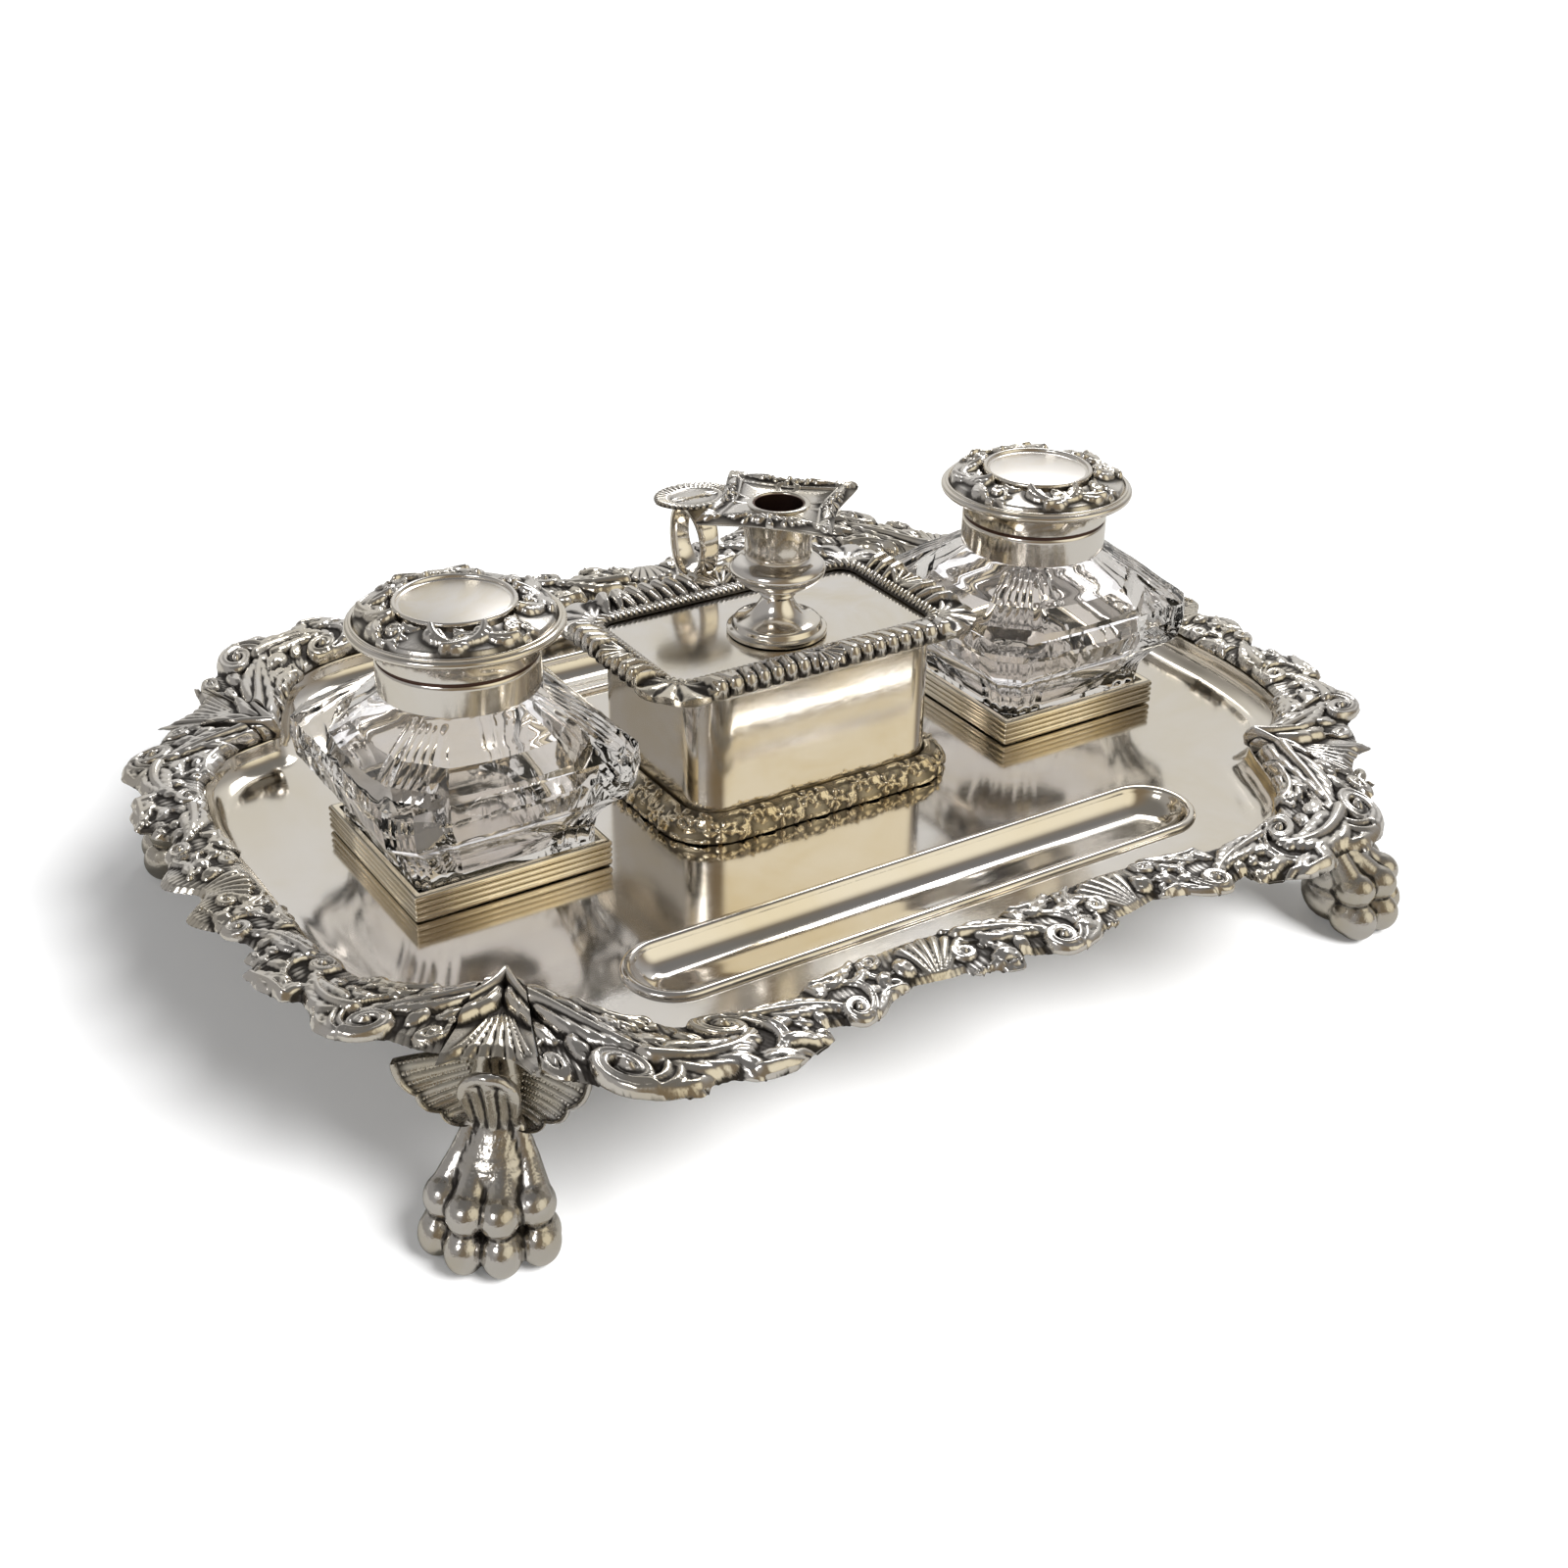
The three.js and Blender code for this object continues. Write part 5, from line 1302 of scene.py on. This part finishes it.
# Rounded boxes: length, width and corner radius
BOX, FOOT_LINE = (79.0, 60.0, 10.0), (80.0, 61.0, 10.5)
FOOT_BAND, FOOT_REPEATS = 9.6, 30
BOX_LOW, BOX_TOP = FLOOR + SEAM, FLOOR + 43.0


class INKSTAND_OT_box(Dresser, bpy.types.Operator):
    """Make the plain box body and the leaf band round its foot"""
    bl_idname = "inkstand.box"
    bl_label = "Box"

    def execute(self, context):
        low, high = BOX_LOW, BOX_TOP
        piece = Piece("box-body")
        piece.loft(box_rings(BOX, (
            (0.6, low), (0, low + 0.4), (0, low + 8), (0, low + 22), (0, high - 2),
            (0, high - 0.4), (0.25, high), (1.05, high), (1.3, high - 0.3),
            (1.3, low + 1.8), (2.0, low + 1.3), (3.5, low + 1.3)), 260))
        seat(piece.make(finish("plain silver"), 40), "tray", "polished_silver", "box_body")
        self.foot()
        return {"FINISHED"}

    def foot(self):
        """Band of flowers, leaves and scrolls that spreads over the tray."""
        relief = Relief(box_line(*FOOT_LINE, 8)[2], 0, FOOT_BAND, wrap=True, step=0.32)
        count = len(relief.s)
        line, out, _ = box_line(*FOOT_LINE, count)
        pitch = relief.length / FOOT_REPEATS
        for k in range(FOOT_REPEATS):
            s = k * pitch
            hand = 1 if k % 2 else -1
            relief.flower(s + pitch * 0.5, 4.4 + 1.5 * hand, 2.5, 5, 0.4 * k)
            relief.leaf(s, 5.0 - 4.2 * hand, 6.2, hand * 0.9, hand, 4, 1.0, 0.1)
            relief.leaf(s + pitch * 0.2, 5.0 + 4.0 * hand, 4.4, 2.6 * hand, hand, 3, 1.2, 0.12)
            relief.scroll(s, 5.0 - 0.5 * hand, 1.7, 1.9 * hand, hand, 3.5, 3, 0.3)
            relief.bead(s + pitch * 0.5, 8.9, 0.9, 1.0)
        t, rise, dark = relief.face(FOOT_BAND, 34)
        ways = out[:, None]
        knots, share = (0, 0.3, 0.6, 0.85, 1), t / FOOT_BAND
        reach = np.hypot(ways[..., 0] * 7.0, ways[..., 1] * 5.0)
        away = np.interp(share, knots, (0.08, 0.5, 0.82, 0.95, 0.92)) * reach + rise * 0.85
        lift = np.interp(share, knots, (7.2, 6.2, 3.9, 1.6, 0.05)) + rise * 0.55
        face = np.concatenate([line[:, None] + ways * away[..., None],
                               (BOX_LOW + lift)[..., None]], -1)
        back = np.stack([raised(line, BOX_LOW), raised(line, BOX_LOW + 6.8)], 1)
        band = Piece("box-foot-border")
        band.loft(np.concatenate([face, back], 1), closed=True,
                  hollow=np.concatenate([dark, np.full((count, 2), 0.6)], 1))
        seat(band.make(finish("toned silver"), 60), "tray", "cast_silver", "box_foot_border")


COVER_LOW = FLOOR + 43.3
FIELD_TOP = COVER_LOW + 1.3
COVER, FLANGE, FIELD_LINE = (107, 70, 15), (75.2, 56.2, 8.1), (84.0, 45.0, 5.0)


class INKSTAND_OT_cover(Dresser, bpy.types.Operator):
    """Make the box cover: polished field, locating flange and shell border"""
    bl_idname = "inkstand.cover"
    bl_label = "Box cover"

    def execute(self, context):
        inner = [raised(box_line(*(share * size for size in COVER), 240)[0], z) for share, z in
                 ((0.4, COVER_LOW), (1 - 22 / 60, COVER_LOW), (0.5, FIELD_TOP))]
        pan = Piece("cover-pan")
        pan.loft(inner[:2] + box_rings(COVER, (
            (5, COVER_LOW), (2.4, COVER_LOW), (2.0, COVER_LOW + 0.3), (2.0, FIELD_TOP - 0.3),
            (2.4, FIELD_TOP), (5, FIELD_TOP), (14, FIELD_TOP)), 240) + inner[2:])
        pan.loft(box_rings(FLANGE, (
            (0, COVER_LOW + 0.1), (0, COVER_LOW - 4.7), (0.3, COVER_LOW - 5),
            (1.0, COVER_LOW - 5), (1.3, COVER_LOW - 4.7), (1.3, COVER_LOW + 0.1)), 200),
            closed=True)
        seat(pan.make(finish("plain silver"), 40), "box_cover", "polished_silver", "cover_pan")
        self.border()
        return {"FINISHED"}

    def border(self):
        """Leaning gadroons between shells, with scrolls and leaves beside the middle ones."""
        relief = Relief(box_line(*FIELD_LINE, 8)[2], -1.0, 14.5, wrap=True, step=0.3)
        count = len(relief.s)
        line, out, _ = box_line(*FIELD_LINE, count)
        spread = np.abs(out[:, 0] * out[:, 1]) * 2
        reach = np.hypot(out[:, 0] * 11.5, out[:, 1] * 12.5) * (1 + 0.16 * spread)
        corner_at = [float(np.mean(relief.s[(out[:, 0] * x > 0.3) & (out[:, 1] * y > 0.3)]))
                     for x, y in ((1, -1), (1, 1), (-1, 1), (-1, -1))]
        middle = [(a + b) / 2 for a, b in zip(corner_at, corner_at[1:])]
        middle.append(((corner_at[-1] + corner_at[0] + relief.length) / 2) % relief.length)

        def past(s, spot):
            """How far round the border s lies past a spot."""
            return (s - spot + relief.length / 2) % relief.length - relief.length / 2

        steps = round(relief.length / 4.2)
        for k in range(steps):
            s = k * relief.length / steps
            lean = 1 if any(0 < past(s, m) < relief.length / 8 for m in middle) else -1
            relief.rib([(s, 3.0), (s + lean * 0.9, 6.4), (s + lean * 1.8, 10.0)],
                       (0.8, 1.6, 2.2), 1.9, 0.12)
            relief.bead(s + lean * 2.0 + 2.1, 7.4, 0.9, 1.2)
        for s in corner_at:
            relief.height[np.abs(relief.s - s) < 3.4] *= 0.15
            relief.shell(s, 0.6, 13.6, RIGHT, 7, 1.2, 0.5, 1.5)
        for s in middle:
            relief.height[np.abs(past(relief.s, s)) < 5.2] *= 0.15
            relief.shell(s, 2.6, 9.9, RIGHT, 7, 2.0, 0.5, 1.5)
            for hand in (-1, 1):
                relief.scroll(s + hand * 6.4, 7.4, 3.0, RIGHT - hand, hand, 3.5, 4, 0.24)
                relief.leaf(s + hand * 7.0, 5.0, 11.0, for_hand(0.3, hand), hand, 6, 0.5, 0.08)
        turns = round(relief.length / 1.7)
        for k in range(turns):
            s = k * relief.length / turns
            relief.rib([(s - 0.5, 0.7), (s + 0.5, 2.3)], 0.62, 1.5)

        def place(columns, t, height):
            stretch = reach[columns[:, 0], None] / 12.0
            flat = line[columns[:, 0], None] + out[columns[:, 0], None] * (t * stretch)[..., None]
            return np.concatenate([flat, (FIELD_TOP + 0.25 + height)[..., None]], -1)

        def bare(share):
            return np.interp(share, (0, 0.04, 0.22, 0.5, 0.8, 1), (0.2, 0.9, 1.5, 1.9, 1.2, 0.5))

        border = Piece("cover-border")
        edge = 11.3 + 0.9 * np.abs(np.sin(relief.s / relief.length * steps * math.pi))
        cast(border, relief, np.full(count, -0.4), edge, place, 46, bare,
             [(0.985, -0.1), (0.5, 0.0), (0.02, 0.0)])
        seat(border.make(finish("cast silver"), 60), "box_cover", "cast_silver", "cover_border")


TAPER_Y = -5.0
TAPER_LOW = FIELD_TOP + 0.3
# (radius, height) of the holder, from its stud to its socket
HOLDER = ((0, -7), (2.4, -7), (2.4, 0), (13.8, 0), (14.1, 0.3), (14.1, 1.3), (13.7, 1.7),
          (12.9, 1.8), (12.6, 2.1), (12.5, 3.0), (12.1, 3.5), (11.0, 3.9), (9.0, 4.6),
          (7.0, 6.0), (5.6, 7.8), (4.7, 9.4), (4.4, 10.4), (4.9, 10.9), (5.2, 11.4),
          (4.9, 11.9), (5.0, 12.4), (7.0, 13.4), (9.6, 14.8), (11.8, 16.4), (13.0, 17.8),
          (13.4, 19.0), (13.2, 20.0), (12.2, 21.0), (10.6, 21.8), (9.4, 22.2), (9.0, 22.7),
          (9.2, 23.3), (9.4, 24.2), (9.3, 26.5), (9.4, 29.0), (9.8, 31.5), (10.4, 34.0),
          (10.7, 35.2), (10.6, 35.8), (10.1, 36.0), (8.6, 36.0), (8.2, 35.7), (8.2, 22.0),
          (0, 22.0))
NOZZLE_LOW = TAPER_LOW + 36.3
NOZZLE_BAND = 8.0
NOZZLE_OUTER, NOZZLE_INNER = 52.6, 36


def pinched_square(diagonal, count):
    """Points round a square that stands on its corner, with sides that bow inward."""
    reach, points = diagonal / 2, []
    for i in range(count):
        side, share = divmod(4 * i / count, 1)
        a, b = (np.array((math.cos(k * RIGHT), math.sin(k * RIGHT))) * reach
                for k in (side, side + 1))
        point = a + (b - a) * share
        dip = 2.2 * diagonal / 53 * math.sin(math.pi * share)
        points.append(point * (1 - dip / np.linalg.norm(point)))
    return np.asarray(points)


class INKSTAND_OT_taper(Dresser, bpy.types.Operator):
    """Make the turned taper holder and the square nozzle that drops into it"""
    bl_idname = "inkstand.taper"
    bl_label = "Taper holder"

    def execute(self, context):
        holder = Piece("taper-holder")
        holder.turned([(r, TAPER_LOW + z) for r, z in HOLDER], (0, TAPER_Y), 112)
        seat(holder.make(finish("plain silver"), 40), "box_cover", "polished_silver",
             "taper_holder")
        self.nozzle()
        for name in ("stem_nut", "hinge_pin_left", "hinge_pin_right"):
            bpy.data.objects[name].material_slots[0].material = finish("plain silver")
        return {"FINISHED"}

    def nozzle(self):
        """Socket and bordered square of the nozzle, with a dark lining painted as shade in its
        well.
        """
        low = NOZZLE_LOW
        nozzle = Piece("taper-nozzle")
        nozzle.turned([(7.3, low - 10), (7.8, low - 10), (7.9, low - 9.6), (7.9, low + 0.2),
                       (8.6, low + 0.9), (8.6, low + 1.7), (8.2, low + 2.0), (7.4, low + 2.0),
                       (7.0, low + 1.6), (7.0, low - 9.6)], (0, TAPER_Y), 96)

        # A near-black disc and wall low in the socket, painted shade inside the nozzle well
        well = Piece("nozzle-well")
        well.turned([(0, low - 6), (6.9, low - 6), (7.0, low + 1.55), (6.7, low + 1.5),
                     (6.6, low - 5.6), (0, low - 5.6)], (0, TAPER_Y), 96)
        seat(well.make(finish("painted shade lining"), 40), "nozzle", "cast_silver")

        relief = Relief(136.0, 0, NOZZLE_BAND, wrap=True, step=0.3)
        count = len(relief.s) // 4 * 4
        relief.s, relief.height = relief.s[:count], relief.height[:count]
        quarter = relief.length / 4
        for k in range(4):
            s = k * quarter
            relief.shell(s, 7.4, 7.4, -RIGHT, 5, 1.1, 0.5)
            relief.flower(s + quarter / 2, 3.2, 3.3, 5)
            for hand in (-1, 1):
                relief.flower(s + quarter / 2 + hand * 5.6, 3.0, 2.4, 5, 0.6)
                relief.leaf(s + quarter / 2 + hand * 7.2, 3.4, 6.5, for_hand(0, hand), hand,
                            4, 0.3, 0.14)
                relief.leaf(s + quarter / 2 + hand * 2.4, 6.4, 4.2, for_hand(0.5, hand), hand,
                            3, 0.6, 0.14)
        relief.rib([(-5, 7.2), (relief.length + 5, 7.2)], 0.5, 0.9)
        outer, inner = (pinched_square(size, count) for size in (NOZZLE_OUTER, NOZZLE_INNER))

        def between(share):
            """Level points from the outer edge of the border to its inner one."""
            return outer[:, None] + (inner - outer)[:, None] * share[..., None] + (0, TAPER_Y)

        t, rise, dark = relief.face(NOZZLE_BAND, 30)
        share = t / NOZZLE_BAND
        lift = np.interp(share, (0, 0.25, 0.6, 1), (1.2, 2.6, 2.7, 1.5)) + rise * 0.95
        face = np.concatenate([between(share), (low + lift)[..., None]], -1)
        ring = np.arange(count) * TAU / count
        extra = []
        for radius, z in ((8.7, 1.5), (8.4, 1.4), (8.4, 0.1), (8.7, 0.0)):
            extra.append(np.stack([radius * np.cos(ring), radius * np.sin(ring) + TAPER_Y,
                                   np.full(count, low + z)], -1))
        for share, z in ((0.6, 0.0), (0.02, 0.4)):
            extra.append(raised(between(np.full((1, 1), share))[:, 0], low + z))
        rings = np.concatenate([face, np.stack(extra, 1)], 1)
        shade = np.concatenate([dark, np.tile((0.1, 0.1, 0.3, 0.2, 0.2, 0.3), (count, 1))], 1)
        nozzle.loft(rings, closed=True, hollow=shade)
        seat(nozzle.make(finish("cast silver"), 50), "nozzle", "cast_silver", "nozzle")


HANDLE_Y = 40.5
HANDLE_Z = FIELD_TOP + 11.5
# (share of the half width, depth) round the section of the ring
RING_SECTION = ((-1, -0.5), (-0.86, -0.75), (0, -0.7), (0.86, -0.75), (1, -0.5), (1, 0.4),
                (0.8, 0.78), (0.4, 0.7), (0, 0.78), (-0.4, 0.7), (-0.8, 0.78), (-1, 0.4))
THUMB_ROUND, THUMB_BAND, THUMB_NICKS = 64.0, 8.5, 40


class INKSTAND_OT_handle(Dresser, bpy.types.Operator):
    """Make the oval finger ring and the leaf thumb-piece on its crown"""
    bl_idname = "inkstand.handle"
    bl_label = "Ring handle"

    def execute(self, context):
        ring = Piece("handle-ring")
        rings = []
        for angle in np.arange(120) * TAU / 120:
            out = np.array((0, math.cos(angle) / 9.5, math.sin(angle) / 11.5))
            out /= np.linalg.norm(out)
            middle = np.array((0, HANDLE_Y + 8.7 * math.cos(angle),
                               HANDLE_Z + 10.7 * math.sin(angle)))
            wide = 3.5 - 0.5 * math.cos(2 * angle)
            rings.append([middle + out * depth + np.array((x * wide, 0, 0))
                          for x, depth in RING_SECTION])
        ring.loft(rings, closed=True)
        seat(ring.make(finish("plain silver"), 50), "box_cover", "polished_silver", "handle_ring")
        self.thumb()
        return {"FINISHED"}

    def thumb(self):
        """Dished oval with a nicked edge and a shell at either end."""
        relief = Relief(THUMB_ROUND, 0, THUMB_BAND, wrap=True, step=0.28)
        count = len(relief.s)
        for k in range(THUMB_NICKS):
            s = k * THUMB_ROUND / THUMB_NICKS
            relief.rib([(s, 0.5), (s + 0.5, 2.1)], 0.72, 0.9)
        relief.rib([(-5, 2.9), (THUMB_ROUND + 5, 2.9)], 0.4, 0.9)
        for s in (0, THUMB_ROUND / 2):
            relief.shell(s, 2.4, 6.4, 1.57, 7, 1.8, 0.45)
        angles = relief.s / THUMB_ROUND * TAU

        def place(columns, t, height):
            angle = angles[columns]
            share = 1 - t / THUMB_BAND
            point = np.abs(np.cos(angle)) ** 7
            x = share * (12.6 * np.sign(np.cos(angle)) * np.abs(np.cos(angle)) ** 0.93)
            y = share * (9.4 * np.sin(angle) * (1 - 0.25 * point))
            dish = 0.9 * share ** 2
            return np.stack([x, HANDLE_Y + y, HANDLE_Z + 11.5 + 1.1 + dish + height * 0.75], -1)

        thumb = Piece("thumb-piece")
        cast(thumb, relief, np.zeros(count), np.full(count, 8.46), place, 30,
             lambda share: np.interp(share, (0, 0.06, 1), (0.0, 0.4, 0.5)),
             [(0.99, -0.7), (0.5, -0.9), (0.02, -0.6)])
        seat(thumb.make(finish("cast silver"), 60), "box_cover", "polished_silver", "thumb_piece")


# ---- Studio ----

# Metres from here on. A lamp has its setting, place, target, width and height; a part of
# the mirrored room has its direction, where it fades in and is full, and its setting.
FLOOR_REACH, FLOOR_DROP, FLOOR_GLOW = 4, 0.0004, 0.12
LAMPS = (("key", (0.70, 0.62, 1.05), (0, 0, 0.03), 0.55, 0.4),
         ("fill", (-1.0, -0.4, 0.9), (0, 0, 0.05), 0.45, 0.3))
ROOM = (((0.5, 0.72, 0.48), 0.7, 0.93, "room_bright"), ((0, 0, 1), 0.6, 0.85, "room_top"),
        ((0.2, -0.97, 0), 0.1, 0.7, "room_front"),
        ((0.45, -0.76, 0.46), 0.8, 0.97, "room_window"))
SUN_POWER, SUN_SPREAD, SUN_WAY = 5.2, math.radians(32), (-0.35, 0.95, -1.0)
LENS, SENSOR = 49.17, 36
CAMERA_SPOT = (-0.2989, -0.46564, 0.34035)
YAW, PITCH, ROLL = (math.radians(angle) for angle in (33.28, 28.82, 1.11))


def seen_and_mirrored(tree, rays):
    """Masks of rays that see a thing straight or through glass, and of mirrored ones."""
    return (arithmetic(tree, "ADD", (-500, 600), rays["Is Camera Ray"],
                       rays["Is Transmission Ray"]),
            arithmetic(tree, "GREATER_THAN", (-1000, 700), rays["Glossy Depth"], 0.5))


class INKSTAND_OT_stage(Dresser, bpy.types.Operator):
    """Set the pale floor, the soft lamps, the white surround and the camera"""
    bl_idname = "inkstand.stage"
    bl_label = "Studio"

    def execute(self, context):
        looks = context.scene.inkstand_looks
        mesh = bpy.data.meshes.new("studio floor")
        mesh.from_pydata([(x * FLOOR_REACH, y * FLOOR_REACH, -FLOOR_DROP)
                          for x, y in ((-1, -1), (1, -1), (1, 1), (-1, 1))], [], [(0, 1, 2, 3)])
        mesh.materials.append(self.floor_material(looks))
        ground = bpy.data.objects.new("studio floor", mesh)
        context.scene.collection.objects.link(ground)
        ground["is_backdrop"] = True
        for name, spot, target, wide, tall in LAMPS:
            soft = self.lamp(name + " lamp", "AREA", Vector(target) - Vector(spot),
                             shape="RECTANGLE", size=wide, size_y=tall,
                             energy=getattr(looks, name))
            soft.location = spot
        sun = self.lamp("shadow lamp", "SUN", SUN_WAY, energy=SUN_POWER, angle=SUN_SPREAD)
        sun.visible_glossy = False
        self.surround(context.scene, looks)
        self.camera(context.scene)
        context.scene.view_settings.view_transform = "Standard"
        return {"FINISHED"}

    def lamp(self, name, kind, way, **values):
        """A lamp that shines along a direction and isn't seen through the glass."""
        data = bpy.data.lights.new(name, kind)
        for title, value in values.items():
            setattr(data, title, value)
        made = bpy.data.objects.new(name, data)
        made.rotation_euler = Vector(way).to_track_quat("-Z", "Y").to_euler()
        made.visible_transmission = False
        bpy.context.scene.collection.objects.link(made)
        return made

    def floor_material(self, looks):
        """Matt floor, faintly lit where it is seen and dimmer where metal mirrors it."""
        made, tree, shader = material("studio floor")
        rays = node(tree, "ShaderNodeLightPath", (-1200, 500)).outputs
        seen, mirrored = seen_and_mirrored(tree, rays)
        feed(tree, shader["Roughness"], 0.9)
        feed(tree, shader["Specular IOR Level"], 0.0)
        feed(tree, shader["Base Color"],
             mixed(tree, (-250, 100), mirrored, looks.ground, looks.ground_mirrored))
        straight = arithmetic(tree, "SUBTRACT", (-250, 400), seen, mirrored)
        blend = node(tree, "ShaderNodeMixShader", (400, 200), {
            0: arithmetic(tree, "MULTIPLY", (-50, 400), straight, FLOOR_GLOW),
            1: tree.nodes["Principled BSDF"].outputs[0],
            2: node(tree, "ShaderNodeEmission", (0, 200)).outputs[0]})
        feed(tree, tree.nodes["Material Output"].inputs["Surface"], blend.outputs[0])
        return made

    def surround(self, scene, looks):
        """White where it is seen, even for the floor, and a toned room in the reflections."""
        scene.world = bpy.data.worlds.new("studio")
        scene.world.use_nodes = True
        tree = scene.world.node_tree
        rays = node(tree, "ShaderNodeLightPath", (-1200, 500)).outputs
        where = node(tree, "ShaderNodeTexCoord", (-1200, 0)).outputs["Generated"]
        room = looks.room_dim
        for k, (way, low, high, tone) in enumerate(ROOM):
            along = node(tree, "ShaderNodeVectorMath", (-1000, -200 * k), {0: where, 1: way},
                         operation="DOT_PRODUCT").outputs["Value"]
            share = eased(tree, (-800, -200 * k), along, low, high)
            room = mixed(tree, (-500, -200 * k), share, room, getattr(looks, tone))
        other = mixed(tree, (-250, 200), rays["Is Glossy Ray"], looks.room_even, room)
        seen, mirrored = seen_and_mirrored(tree, rays)
        white = mixed(tree, (-250, 700), mirrored, (1, 1, 1), looks.room_through)
        back = tree.nodes["Background"].inputs
        feed(tree, back["Color"], mixed(tree, (-50, 500), seen, other, white))
        feed(tree, back["Strength"], 1.0)

    def camera(self, scene):
        data = bpy.data.cameras.new("camera")
        data.sensor_width, data.lens = SENSOR, LENS
        made = bpy.data.objects.new("camera", data)
        ahead = Vector((math.sin(YAW) * math.cos(PITCH), math.cos(YAW) * math.cos(PITCH),
                        -math.sin(PITCH)))
        right = Vector((math.cos(YAW), -math.sin(YAW), 0))
        above = right.cross(ahead)
        tilted = right * math.cos(ROLL) + above * math.sin(ROLL)
        upright = above * math.cos(ROLL) - right * math.sin(ROLL)
        turn = Matrix((tilted, upright, -ahead)).transposed().to_4x4()
        made.matrix_world = Matrix.Translation(CAMERA_SPOT) @ turn
        scene.collection.objects.link(made)
        scene.camera = made


class INKSTAND_PT_panel(bpy.types.Panel):
    """Lists the pieces and the settings"""
    bl_idname = "INKSTAND_PT_panel"
    bl_label = "Desk inkstand"
    bl_space_type = "VIEW_3D"
    bl_region_type = "UI"
    bl_category = "Inkstand"

    def draw(self, context):
        column = self.layout.column()
        for kind in OPERATORS:
            column.operator(kind.bl_idname)
        for group in (context.scene.inkstand_sizes, context.scene.inkstand_looks):
            for name in group.bl_rna.properties.keys():
                if name not in {"rna_type", "name"}:
                    column.prop(group, name)


OPERATORS = (
    INKSTAND_OT_stage, INKSTAND_OT_tray, INKSTAND_OT_borders, INKSTAND_OT_feet,
    INKSTAND_OT_galleries, INKSTAND_OT_bottles, INKSTAND_OT_collars, INKSTAND_OT_lids,
    INKSTAND_OT_box, INKSTAND_OT_cover, INKSTAND_OT_taper, INKSTAND_OT_handle)
CLASSES = (InkstandSizes, InkstandLooks, *OPERATORS, INKSTAND_PT_panel)


def register():
    for kind in CLASSES:
        bpy.utils.register_class(kind)
    bpy.types.Scene.inkstand_sizes = bpy.props.PointerProperty(type=InkstandSizes)
    bpy.types.Scene.inkstand_looks = bpy.props.PointerProperty(type=InkstandLooks)


def unregister():
    del bpy.types.Scene.inkstand_looks
    del bpy.types.Scene.inkstand_sizes
    for kind in reversed(CLASSES):
        bpy.utils.unregister_class(kind)


def main():
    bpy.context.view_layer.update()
    register()
    for kind in OPERATORS:
        group, name = kind.bl_idname.split(".")
        getattr(getattr(bpy.ops, group), name)()


if __name__ == "__main__":
    main()
